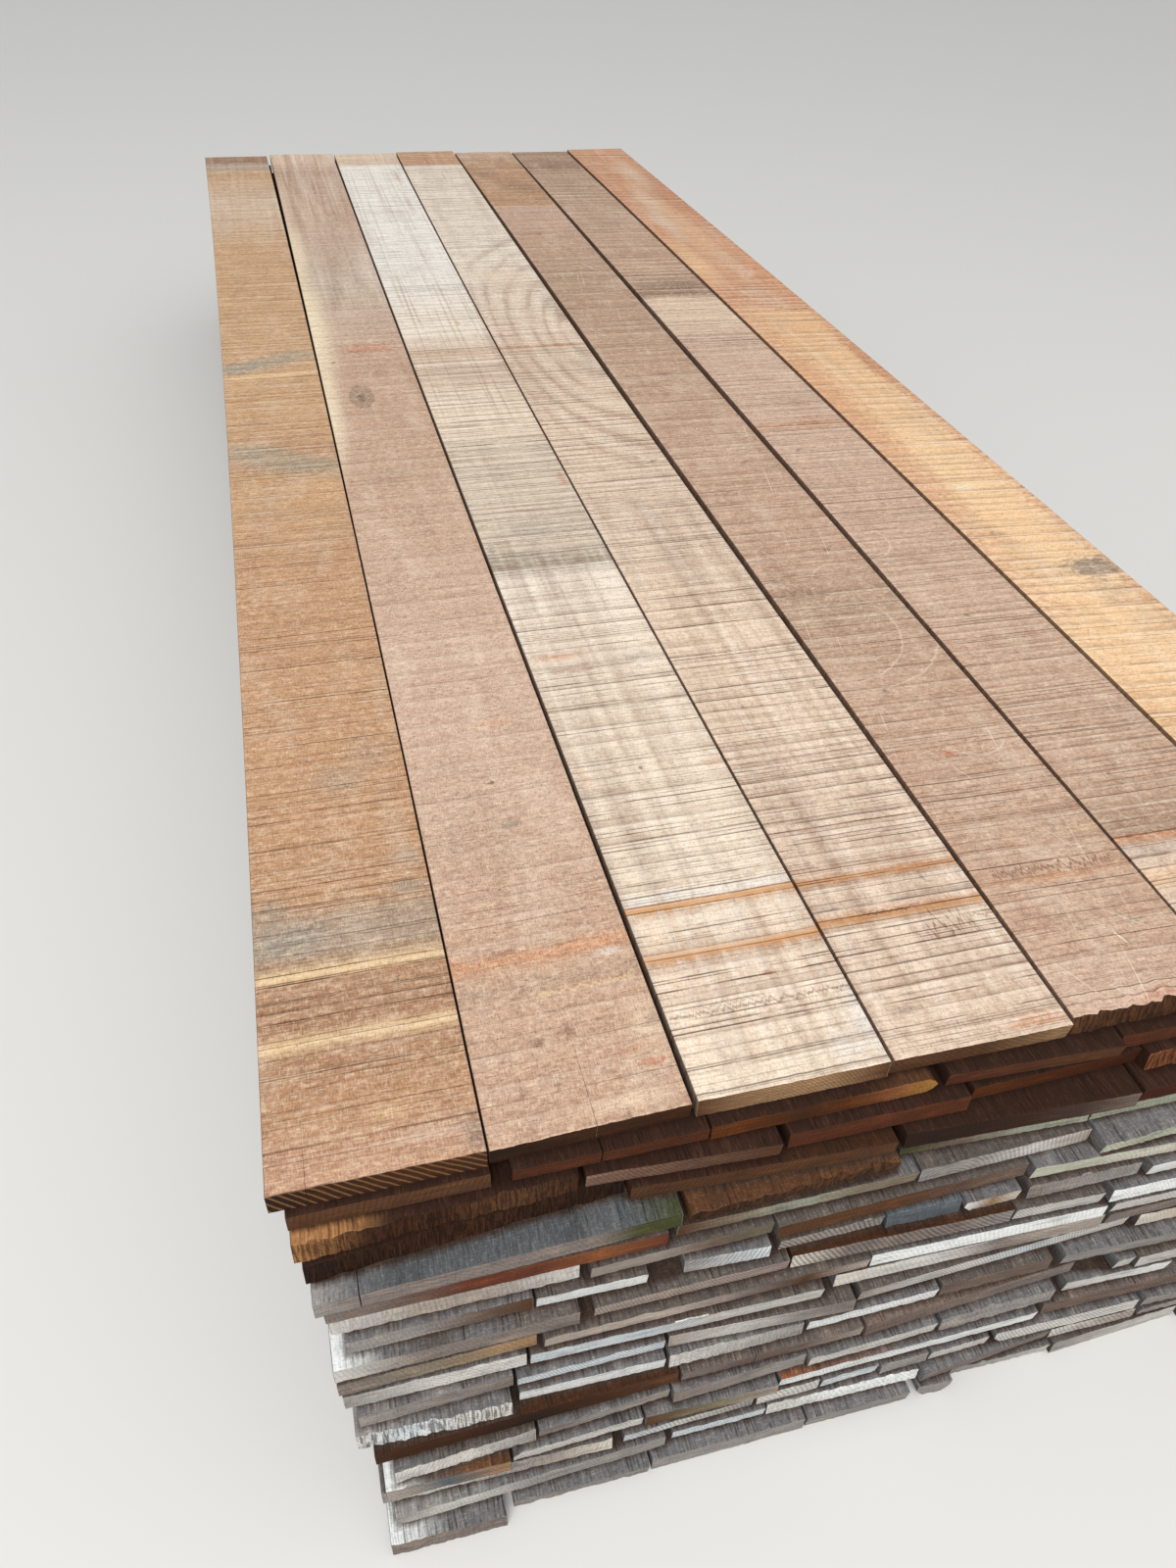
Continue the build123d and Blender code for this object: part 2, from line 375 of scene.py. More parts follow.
def open_to_sky(x, y, above):
    """How far each point lies out from under the boards above, in metres."""
    if not above:
        return np.ones(len(x))
    edges = [(board[side][1][0], board["near", side], board["far", side])
             for board in above for side in ("left", "right")]
    places, near, far = zip(*edges)
    reach = np.maximum(np.interp(x, places, near) - y, y - np.interp(x, places, far))
    return np.maximum.reduce([reach, places[0] - x, x - places[-1]])


END_GRAIN = 0.55        # a face whose normal points along the board by more shows end grain
STORED_AS = {"FLOAT": "value", "FLOAT_VECTOR": "vector", "FLOAT_COLOR": "color"}


def store(where, name, kind, values, domain="POINT"):
    """Stores what a material reads: a value for each point or face."""
    made = where.new(name, kind, domain)
    made.data.foreach_set(STORED_AS[kind], values.astype(np.float32).ravel())


def dress_attributes(mesh, across, along, height, u, seed, habit, bare):
    """What the materials read: the place in the wood, the growth rings and the tones."""
    # The two shifts repeat after different counts, so no two boards get the same pattern.
    wood = np.stack([across + PATTERN_STEP * (seed % 97), along,
                     height + PATTERN_LIFT * (seed % 89)], 1)
    store(mesh.attributes, "wood", "FLOAT_VECTOR", wood)
    pith = habit["pith"] * MM * np.array([math.cos(habit["turn"]), math.sin(habit["turn"])])
    ring = np.hypot(across - across.max() / 2 - pith[0], height - pith[1]) / (habit["ring"] * MM)
    store(mesh.attributes, "ring", "FLOAT", ring)
    store(mesh.attributes, "bare", "FLOAT", bare)
    store(mesh.attributes, "rim", "FLOAT", np.minimum(across, across.max() - across))
    shows = np.tile([habit["rings"], habit["fuzz"], habit["tan"]], len(across))
    store(mesh.attributes, "habit", "FLOAT_VECTOR", shows)
    for name in ("face_tone", "end_tone"):
        codes = [colour(TONES[word]) for word in habit[name]]
        stops = np.linspace(0, 1, len(codes)) if len(codes) > 1 else [0.5]
        values = np.stack([np.interp(u, stops, [code[i] for code in codes]) for i in range(4)], 1)
        store(mesh.color_attributes, name, "FLOAT_COLOR", values)
    normals = np.array([face.normal for face in mesh.polygons])
    store(mesh.attributes, "end_grain", "FLOAT", np.abs(normals[:, 1]) > END_GRAIN, "FACE")


# %% [markdown]
# ## What the boards look like
# Each board gets plain words for its looks: the tones across its ends, from left to right,
# then the tones across its long faces, and then how the saw and the weather treated it.
# Boards without words of their own, far to the right, get plain ones.

# %% Tones of wood
TONES = {
    "black brown": "#281a13", "dark brown": "#402718", "brown": "#5b3d29", "earth": "#36231a",
    "red brown": "#56301f", "rust": "#66392a", "russet": "#5c3318", "orange": "#885434",
    "amber": "#a9784d", "gold": "#a87a3c", "tan": "#a3805e", "pink brown": "#86695a",
    "pink grey": "#a7958d", "purple": "#473631", "dark red": "#422016", "drab": "#73635a",
    "grey brown": "#877c76", "grey tan": "#aca096", "grey": "#9c9793", "dun": "#8c806e",
    "blue grey": "#5a5c5e", "slate": "#5d646a", "pale": "#d8d4cd", "white": "#f9faf6",
    "blue white": "#dde4e7", "cream": "#e2d9cb", "olive": "#7f7862", "moss": "#45492b",
    "green white": "#a5a896", "lime white": "#c8cbb5", "ash": "#706e6e", "dusk": "#5f5853",
    "rosy ash": "#6a605a", "putty": "#c0b2a6",
}

# %% How the saw treated a board
# lean, rag, fray and chip are how deep a slant, the waves, the fibres and the broken bits
# of an end are, in mm. rings, fuzz and tan are how much its growth rings, its torn fibres
# and its tan stripes show. ring is a ring's width, and pith and turn are how far off the
# heart of the tree was and in which direction.
HABITS = {
    "sawn": dict(lean=1.5, rag=1.0, fray=1.4, chip=0.9, rings=0.22, fuzz=0.1),
    "ringed": dict(lean=1.5, rag=0.9, fray=1.1, chip=0.8, rings=0.6, fuzz=0.1),
    "banded": dict(lean=1.5, rag=0.9, fray=1.1, chip=0.8, rings=1.0, fuzz=0.1, ring=5.5),
    "fuzzy": dict(lean=2.5, rag=1.5, fray=2.6, chip=1.5, rings=0.2, fuzz=0.25),
    "torn": dict(lean=4.0, rag=5.0, fray=4.5, chip=4.5, rings=0.2, fuzz=1.0),
    "chopped": dict(lean=3.5, rag=4.0, fray=5.5, chip=5.0, rings=0.3, fuzz=0.9),
    "striped": dict(lean=1.5, rag=1.0, fray=1.2, chip=1.0, rings=0.1, fuzz=0.1, tan=0.9, ring=8,
                    pith=500, turn=0.8),
}
COMMON = dict(wave=0.5, edge=0.5, edge_size=40, chip_size=17, tan=0.0)


def habit_of(words, seed):
    """The full habit of one board, from 'end tones | face tone | how it was sawn'."""
    ends, faces, treatment = [part.strip() for part in words.split("|")]
    draw = np.random.default_rng(seed)
    habit = dict(COMMON, **HABITS[treatment])
    habit["end_tone"] = [tone.strip() for tone in ends.split(",")]
    habit["face_tone"] = [tone.strip() for tone in faces.split(",")]
    habit.setdefault("ring", draw.uniform(3.6, 6.0))
    habit.setdefault("pith", draw.uniform(60, 420))
    turn = draw.uniform(0.15, 0.9) * (1 if draw.random() < 0.75 else -1)
    habit.setdefault("turn", turn + math.pi * (draw.random() < 0.5))
    return habit


# %% The looks of every board of the lower layers, from left to right
# The words are the tones of the ends, then of the long faces, and a treatment.
PLAIN = ["grey tan, grey | ash | sawn", "pale, grey tan | dusk | ringed",
         "grey, pale | ash | fuzzy", "grey, pale | dusk | sawn"]
FRESH = ["red brown | earth | sawn", "brown, red brown | earth | ringed"]
LOOKS = {
    2: ["brown | earth | ringed", "red brown | earth | ringed",
        "russet, russet, dark brown, russet, orange, gold | earth, earth, earth, brown | sawn",
        "red brown, brown | earth | sawn", "red brown | earth | sawn"],
    3: ["amber, dark brown, dark brown, brown, dark brown"
        " | amber, amber, earth, earth, earth, earth, earth | chopped",
        "pink brown, brown | earth | ringed", "red brown | earth | sawn",
        "russet, dark red | earth | sawn", "orange, rust, dark red | earth | torn"],
    4: ["black brown, dark brown, black brown | earth | torn", "brown | earth, dark brown | ringed",
        "black brown, black brown, earth, purple, drab | earth | sawn",
        "dark red | earth | sawn"],
    5: ["grey, grey brown, grey brown, grey brown, grey brown, grey brown, grey brown, moss, moss"
        " | grey, blue grey, blue grey, blue grey, blue grey, blue grey, blue grey, moss | sawn",
        "dark brown, brown, brown | brown | chopped", "moss, drab, green white, green white | dusk | fuzzy",
        "green white | dusk | sawn", "green white, grey | ash | sawn"],
    6: ["grey brown, drab, rust, rust, orange, rust | dusk | sawn",
        "brown, dun, green white, dun, dun | ash | sawn",
        "grey, grey, pale, grey tan | dusk | ringed", "lime white | ash | fuzzy"],
    7: ["pale, grey tan, grey tan, pale | ash | fuzzy",
        "grey tan, grey tan, drab, olive | dusk | ringed",
        "brown, brown, drab | dusk | sawn", "lime white, cream | ash | sawn"],
    8: ["grey, grey, drab, brown | ash | sawn", "white | dusk | ringed",
        "grey, blue white | ash | ringed", "grey tan, grey | dusk | banded",
        "slate | slate | fuzzy", "white, tan, cream | ash | sawn",
        "grey brown, grey, grey | dusk | fuzzy", "white, pale | ash | sawn",
        "blue white | ash | sawn"],
    9: ["pale, grey brown, grey brown, grey brown | white, ash, dusk, ash, dusk, dusk | sawn",
        "grey tan, pink grey | dusk | ringed",
        "cream, grey brown, grey brown, grey brown, grey | dark brown | banded",
        "pale, pale | dusk | ringed", "white | ash | sawn"],
    10: ["grey brown, dun, tan | dusk | sawn",
         "putty, putty, putty, grey brown, brown, putty | dusk | sawn",
         "white | ash | sawn", "pale | ash | sawn"],
    11: ["grey, pale, pale | ash | sawn",
         "blue white, blue white, blue white, pale, pale, pale | dusk | ringed",
         "cream, pale, pale, grey brown, grey tan, grey tan | ash | sawn", "grey brown | dusk | sawn",
         "cream | ash | sawn"],
    12: ["grey, grey brown | ash | sawn", "blue white | ash | ringed",
         "grey tan, pale, grey, grey brown | dusk | ringed",
         "grey tan, pale, pale, blue white, pale, pale | dusk | ringed",
         "cream, tan | dusk | sawn"],
    13: ["pale, blue white, pale, pale | grey, ash, ash | torn", "white | ash | ringed",
         "pale, grey | ash | fuzzy", "white | ash | sawn",
         "drab | dusk | sawn", "grey | ash | sawn"],
    14: ["dark brown, dark brown, black brown, dark brown, brown | dark brown | sawn",
         "grey brown, drab, drab, grey tan | rosy ash | sawn",
         "drab, grey brown | drab | sawn", "pale | ash | sawn"],
    15: ["pale, pale, grey | ash, dusk, dusk | fuzzy", "grey brown, grey, grey tan | ash | sawn",
         "grey brown, grey | ash | sawn", "pale | ash | sawn",
         "grey | ash | fuzzy", "pale, white | ash | sawn", "dark brown, brown | dusk | sawn"],
    16: ["grey tan, slate, tan | white, dusk, brown, brown | sawn",
         "pale | ash | sawn", "brown, olive, grey tan | ash | ringed",
         "white | orange, ash, ash | sawn",
         "drab | rosy ash | sawn"],
    17: ["grey, pale, grey, grey tan, cream | ash | fuzzy", "blue white, pale, grey | ash | ringed",
         "pale | ash | ringed", "blue white | ash | sawn", "grey | ash | sawn",
         "pale | ash | sawn", "pale | ash | ringed", "grey | ash | sawn"],
    18: ["grey, pale, grey, grey, grey | grey, ash, ash | sawn", "blue white | ash | sawn",
         "pale, white, white | ash | fuzzy", "grey brown | ash | sawn"],
    19: ["grey brown | white, ash, ash | fuzzy", "grey | ash | fuzzy",
         "grey | ash | sawn", "grey | ash | sawn", "grey | ash | sawn"],
}
# Checks of a board, as (layer, board): place from its left side, length and gape, in mm.
CHECKS = {
    (5, 1): [(46, 60, 0.7)], (2, 2): [(95, 40, 0.7)], (14, 2): [(90, 70, 0.7)],
}


def shape_layer(layer):
    """Shapes and joins the boards of one lower layer."""
    spare = FRESH if layer < 5 else PLAIN
    made = []
    above = boards[f"layer_{layer - 1:02d}"] if layer > 2 else [boards[n][0] for n in TOP_NODES]
    for number, place in enumerate(boards[f"layer_{layer:02d}"], start=1):
        seed = layer * 20 + number
        rows = LOOKS[layer]
        words = rows[number - 1] if number <= len(rows) else spare[seed % len(spare)]
        checks = [[value * MM for value in check] for check in CHECKS.get((layer, number), [])]
        made.append(shape_board(f"board_{layer}_{number}", layer_blank, place, seed,
                                habit_of(words, seed), checks, above))
    deselect()
    for board in made:
        board.select_set(True)
    bpy.context.view_layer.objects.active = made[0]
    bpy.ops.object.join()
    bpy.ops.object.shade_smooth_by_angle(angle=SMOOTH_BELOW)
    made[0].name = f"boards_layer_{layer:02d}"
    return made[0]


layers = {layer: shape_layer(layer) for layer in range(2, 20)}
print(sum(len(piece.data.polygons) for piece in layers.values()), "faces in the lower layers")

# %% The ends and sides of the top boards
TOP_LOOKS = ["black brown, dark brown, dark brown | brown | striped",
             "black brown, dark brown, dark brown | pink brown | sawn",
             "brown, tan, tan, brown | tan | ringed", "brown, brown, tan | tan | ringed",
             "brown, dark brown | pink brown | chopped", "brown | brown | sawn",
             "orange, tan | tan | sawn"]
TOP_CHECKS = {2: [(112, 120, 0.25)], 1: [(38, 40, 0.25)]}
tops = []
for number, words in enumerate(TOP_LOOKS, start=1):
    checks = [[value * MM for value in check] for check in TOP_CHECKS.get(number, [])]
    habit = dict(habit_of(words, number), edge=0.35, edge_size=28)
    board = shape_board(f"sawn_top_board_{number}", top_blank, boards[f"top_board_{number}"][0],
                        number, habit, checks)
    deselect()
    board.select_set(True)
    bpy.context.view_layer.objects.active = board
    bpy.ops.object.shade_smooth_by_angle(angle=SMOOTH_BELOW)
    tops.append(board)
print(sum(len(board.data.polygons) for board in tops), "faces in the top boards")
for source in (top_blank, layer_blank):
    bpy.data.objects.remove(source)

# %% [markdown]
# ## Wood in shader nodes
# All the finishes read the place in the wood that `dress_attributes` stored, so a pattern
# keeps its real size in millimetres and never lines up from board to board. Two recipes do
# most of the work: a mask of grains of a given size, and a paint that is laid on through it.
# Dark paint is mixed in. Pale paint mostly goes on as soft light, which brightens a colour
# and keeps its hue, as sun on raised fibres does.

# %% Grains of a given size, and a paint through a mask
def grains(tree, wood, size, low, high, share=1.0, detail=3.0, rough=0.55, twist=0.0):
    """A mask from noise whose grains have that size in mm: across, along, through."""
    fitted = add(tree, "Mapping", {"Vector": wood, "Scale": [1000 / mm for mm in size]})
    cloud = add(tree, "TexNoise", {"Vector": fitted, "Scale": 1.0, "Detail": detail,
                                   "Roughness": rough, "Distortion": twist})
    return add(tree, "MapRange", {0: cloud, 1: low, 2: high, 3: 0.0, 4: share})


def paint(tree, under, code, share, mask, way="MIX", where=None):
    """Lays a colour on through a mask, at most a share of it. A pale SOFT_LIGHT brightens."""
    if where is not None:
        mask = add(tree, "Math", {0: mask, 1: where}, operation="MULTIPLY")
    thinned = add(tree, "Math", {0: mask, 1: share}, operation="MULTIPLY")
    return add(tree, "Mix", {0: thinned, 6: under, 7: colour(code)}, 2, data_type="RGBA",
               blend_type=way)


# %% Lines that the saw left
def saw_lines(tree, wood, path, pitch, width, share, fade=(80, 12, 60)):
    """Thin straight lines, each as dark as chance made it, fading here and there. Sizes in mm."""
    turns = add(tree, "Math", {0: path, 1: 1000 / pitch, 2: pitch * 3.7}, operation="MULTIPLY_ADD")
    nearest = add(tree, "TexVoronoi", {"W": turns, "Scale": 1.0}, "Distance", voronoi_dimensions="1D")
    thin = add(tree, "MapRange", {0: nearest, 1: 0.6 * width / pitch, 2: 0.3 * width / pitch})
    chance = add(tree, "SeparateXYZ", {0: nearest.node.outputs["Color"]}, 0)
    dark = add(tree, "MapRange", {0: chance, 1: 1 - share, 2: 1.0, 3: 0.1, 4: 1.0})
    line = add(tree, "Math", {0: thin, 1: dark}, operation="MULTIPLY")
    kept = add(tree, "MapRange", {0: grains(tree, wood, fade, 0.34, 0.52, detail=2), 3: 0.15, 4: 1.0})
    return add(tree, "Math", {0: line, 1: kept}, operation="MULTIPLY")


# %% [markdown]
# ## End grain
# The end of a board shows its growth rings cut across, as slanting stripes. Most ends are
# smooth, and only a dull or jumping saw leaves them furry or torn. The stripes come from
# each board's own pith, which `dress_attributes` placed, so neighbours never line up.
# A sine of the distance from the pith gives the rings, because it can be bent by noise.

# %% The end grain of any board
def end_grain_colour(tree, wood):
    """Colour and height of the sawn ends."""
    habit = add(tree, "Attribute", None, "Vector", attribute_name="habit")
    rings = add(tree, "SeparateXYZ", {0: habit}, 0)
    fuzz = add(tree, "SeparateXYZ", {0: habit}, 1)
    tan = add(tree, "SeparateXYZ", {0: habit}, 2)
    ring = add(tree, "Attribute", None, "Fac", attribute_name="ring")
    face = add(tree, "Attribute", None, "Color", attribute_name="end_tone")
    face = paint(tree, face, "#2e221b", 0.35, grains(tree, wood, (48, 50, 15), 0.52, 0.75))
    face = paint(tree, face, "#fff1dc", 0.6, grains(tree, wood, (36, 50, 13), 0.52, 0.75), "SOFT_LIGHT")
    # Flat-sawn boards show their rings as long lines that hardly slant.
    leaf = grains(tree, wood, (90, 60, 3.0), 0.3, 0.7, 1.0, 2.5, 0.6, 0.2)
    calm = add(tree, "Math", {0: 1.0, 1: fuzz}, operation="SUBTRACT")
    for code, share, low, high, way in (("#33271f", 0.28, 0.45, 0.05, "MIX"),
                                        ("#fff1dc", 0.55, 0.55, 0.95, "SOFT_LIGHT")):
        line = add(tree, "MapRange", {0: leaf, 1: low, 2: high})
        face = paint(tree, face, code, share, line, way, where=calm)
    turns = add(tree, "Math", {0: grains(tree, wood, (70, 70, 50), 0.25, 0.75, 0.5, 1), 1: ring})
    wave = add(tree, "Math", {0: turns, 1: 2 * math.pi}, operation="MULTIPLY")
    wave = add(tree, "Math", {0: wave}, operation="SINE")
    stripe = add(tree, "MapRange", {0: wave, 1: -0.1, 2: 0.7})
    kept = add(tree, "MapRange", {0: grains(tree, wood, (30, 30, 20), 0.35, 0.6), 3: 0.5, 4: 1.0})
    stripe = add(tree, "Math", {0: stripe, 1: kept}, operation="MULTIPLY")
    face = paint(tree, face, "#3d2f27", 0.62, stripe, where=rings)
    thin = add(tree, "MapRange", {0: wave, 1: 0.3, 2: 0.9})
    face = paint(tree, face, "#87603f", 0.9, thin, where=tan)
    face = paint(tree, face, "#2b201a", 0.35, grains(tree, wood, (2.2, 20, 9), 0.52, 0.7, 1, 4, 0.7))
    # Torn ends have deep pits, drawn dark as painted shade, and the fibres hang down between them.
    torn = add(tree, "Math", {0: grains(tree, wood, (3.2, 60, 26), 0.52, 0.38, 1.0, 2.5), 1: fuzz},
               operation="MULTIPLY")
    face = paint(tree, face, "#20150f", 0.65, torn)
    hanging = grains(tree, wood, (2.6, 60, 30), 0.55, 0.7, 1.0, 2.5)
    face = paint(tree, face, "#fff1dc", 0.8, hanging, "SOFT_LIGHT", where=fuzz)
    height = add(tree, "Math", {0: stripe, 1: -0.3, 2: grains(tree, wood, (2.2, 30, 9), 0.25, 0.75)},
                 operation="MULTIPLY_ADD")
    height = add(tree, "Math", {0: torn, 1: -2.0, 2: height}, operation="MULTIPLY_ADD")
    return face, height


# %% Long faces and ends in one material
def finish_wood(tree, shader, face, face_height, end, end_height, relief):
    """Joins the looks of the long faces and of the ends, and their relief in mm."""
    # Dry wood has an IOR near 1.5, but sawn open it scatters nearly all light, so the rough
    # surface hardly shines and its gloss is turned down.
    at_end = add(tree, "Attribute", None, "Fac", attribute_name="end_grain")
    base = add(tree, "Mix", {0: at_end, 6: face, 7: end}, 2, data_type="RGBA")
    tree.links.new(base, shader.inputs["Base Color"])
    height = add(tree, "Mix", {0: at_end, 2: face_height, 3: end_height})
    bump = add(tree, "Bump", {"Height": height, "Strength": 1.0, "Distance": relief * MM})
    tree.links.new(bump, shader.inputs["Normal"])
    shader.inputs["Roughness"].default_value = 0.82
    shader.inputs["IOR"].default_value = 1.45
    shader.inputs["Specular IOR Level"].default_value = 0.12


# %% [markdown]
# ## The lower layers
# Two finishes cover 135 boards: hardwood that is still brown, and hardwood that the sun and
# rain have bleached to silver grey. On both, the tone of each board comes from the words
# above, and what is the same on all of them is drawn here: dirty hairlines along the grain
# like the teeth of a comb, fine fibres between them, and the lines of the saw across.

# %% Wood of the lower layers
def layer_wood(name, covered_and_shaded, silver, hairline, crossed):
    """Rough-sawn hardwood. silver is how much of it has pale flecks from the weather."""
    material, tree, shader = new_material(name)
    wood = add(tree, "Attribute", None, "Vector", attribute_name="wood")
    tone = add(tree, "Attribute", None, "Color", attribute_name="face_tone")
    bare = add(tree, "Attribute", None, "Fac", attribute_name="bare")
    # Under the next board the wood takes a darker covered tone: partly the brown that the weather did not
    # reach, partly painted shade from the board above along its edge.
    ragged = add(tree, "Math", {0: bare, 1: grains(tree, wood, (9, 60, 9), 0.3, 0.7, 0.003)},
                 operation="SUBTRACT")
    weathered = add(tree, "MapRange", {0: ragged, 1: -0.004, 2: 0.004})
    face = add(tree, "Mix", {0: weathered, 6: colour(covered_and_shaded), 7: tone}, 2, data_type="RGBA")
    face = paint(tree, face, "#2a201b", 0.35, grains(tree, wood, (42, 260, 40), 0.52, 0.75))
    face = paint(tree, face, "#fdf8f0", 0.7, grains(tree, wood, (30, 240, 34), 0.54, 0.76), "SOFT_LIGHT")
    fibre = grains(tree, wood, (2.0, 16, 2.0), 0.3, 0.7, 1.0, 3, 0.6)
    pale = add(tree, "MapRange", {0: fibre, 1: 0.55, 2: 1.0})
    face = paint(tree, face, "#fdfaf6", 0.75, pale, "SOFT_LIGHT")
    face = paint(tree, face, "#231a16", 0.35, add(tree, "MapRange", {0: fibre, 1: 0.45, 2: 0.0}))
    across = add(tree, "SeparateXYZ", {0: wood}, 0)
    leaning = add(tree, "Math", {0: across, 1: grains(tree, wood, (40, 60, 40), 0.2, 0.8, 0.006, 1)})
    comb = saw_lines(tree, wood, leaning, 4.6, 1.9, 0.9, (14, 20, 14))
    combed = add(tree, "MapRange", {0: grains(tree, wood, (38, 160, 38), 0.4, 0.56, detail=1.5),
                                    3: 0.2, 4: 1.0})
    comb = add(tree, "Math", {0: comb, 1: combed}, operation="MULTIPLY")
    face = paint(tree, face, "#1d1410", hairline, comb)
    along = add(tree, "SeparateXYZ", {0: wood}, 1)
    face = paint(tree, face, "#201713", crossed, grains(tree, wood, (5, 1.8, 4), 0.5, 0.75))
    face = paint(tree, face, "#fdfaf6", silver, grains(tree, wood, (7, 1.8, 6), 0.52, 0.72), "SOFT_LIGHT")
    cut = saw_lines(tree, wood, along, 7, 1.6, 0.6)
    face = paint(tree, face, "#2b211b", 0.4 * crossed, cut)
    height = add(tree, "Math", {0: fibre, 1: comb}, operation="SUBTRACT")
    end, end_height = end_grain_colour(tree, wood)
    finish_wood(tree, shader, face, height, end, end_height, 0.9)
    return material


# Rough from the saw and never planed, oiled or varnished, hardwood is matt: the eye sees
# fibres, dirt and saw marks, and no gloss. Rain and sun turn it grey from the outside in.
# The second colour is the tone under the next board: partly unweathered wood, partly painted shade.
brown_wood = layer_wood("rough-sawn brown hardwood", "#2c1a12", 0.3, 0.55, 0.15)
grey_wood = layer_wood("weathered grey hardwood", "#41342d", 0.8, 0.65, 0.35)
for layer, piece in layers.items():
    piece.data.materials.clear()
    piece.data.materials.append(brown_wood if layer < 5 else grey_wood)
print("two finishes on", len(layers), "layers")

# %% [markdown]
# ## The top boards
# These seven fill most of the picture, so each has a finish of its own from one recipe:
# its colours along the board, streaks along the grain, the washboard and the dark lines
# that the band saw left across it, and the stains, knots and sapwood of that very board.
# The marks that stickers left in an earlier stack cross all seven at about the same places.
# Fresh from the saw, the wood is bright and woolly and has no gloss at all.

# %% Tones of the fresh boards
FRESH_TONES = {
    "orange tan": "#cb9f74", "clay": "#bf9069", "tan brown": "#b98b66", "brown": "#a67a5b",
    "dark": "#86644f", "rosy": "#bc8f72", "grey band": "#a38d7a", "blue grey": "#8f8f85",
    "cream line": "#eac99a", "cream": "#f4dfc5", "pale cream": "#f8e8d5", "pink brown": "#c29d85",
    "grey pink": "#c3b0a2", "pink": "#cfad98", "plaid grey": "#d8c6b0", "green grey": "#a59a85",
    "soft grey": "#b7ac9c", "warm cream": "#eed2b6", "sand": "#e0c6ad", "rose sand": "#e9ccb3",
    "umber": "#b3937c", "soot": "#78706a", "ink": "#4d4844", "orange band": "#c17f4e",
    "rust line": "#955c38", "rust spot": "#bf7257", "flame": "#d3936a", "peach": "#e3b58c",
    "gold": "#ecb884", "honey": "#fbcf9c", "red edge": "#bd7650", "knot": "#6e5443",
    "halo": "#9f8471", "sapwood": "#f7e5c4", "chalk": "#eeeae4", "splinter": "#efe2c8",
    "ivory": "#fffaf0", "band gold": "#d3985f",
}

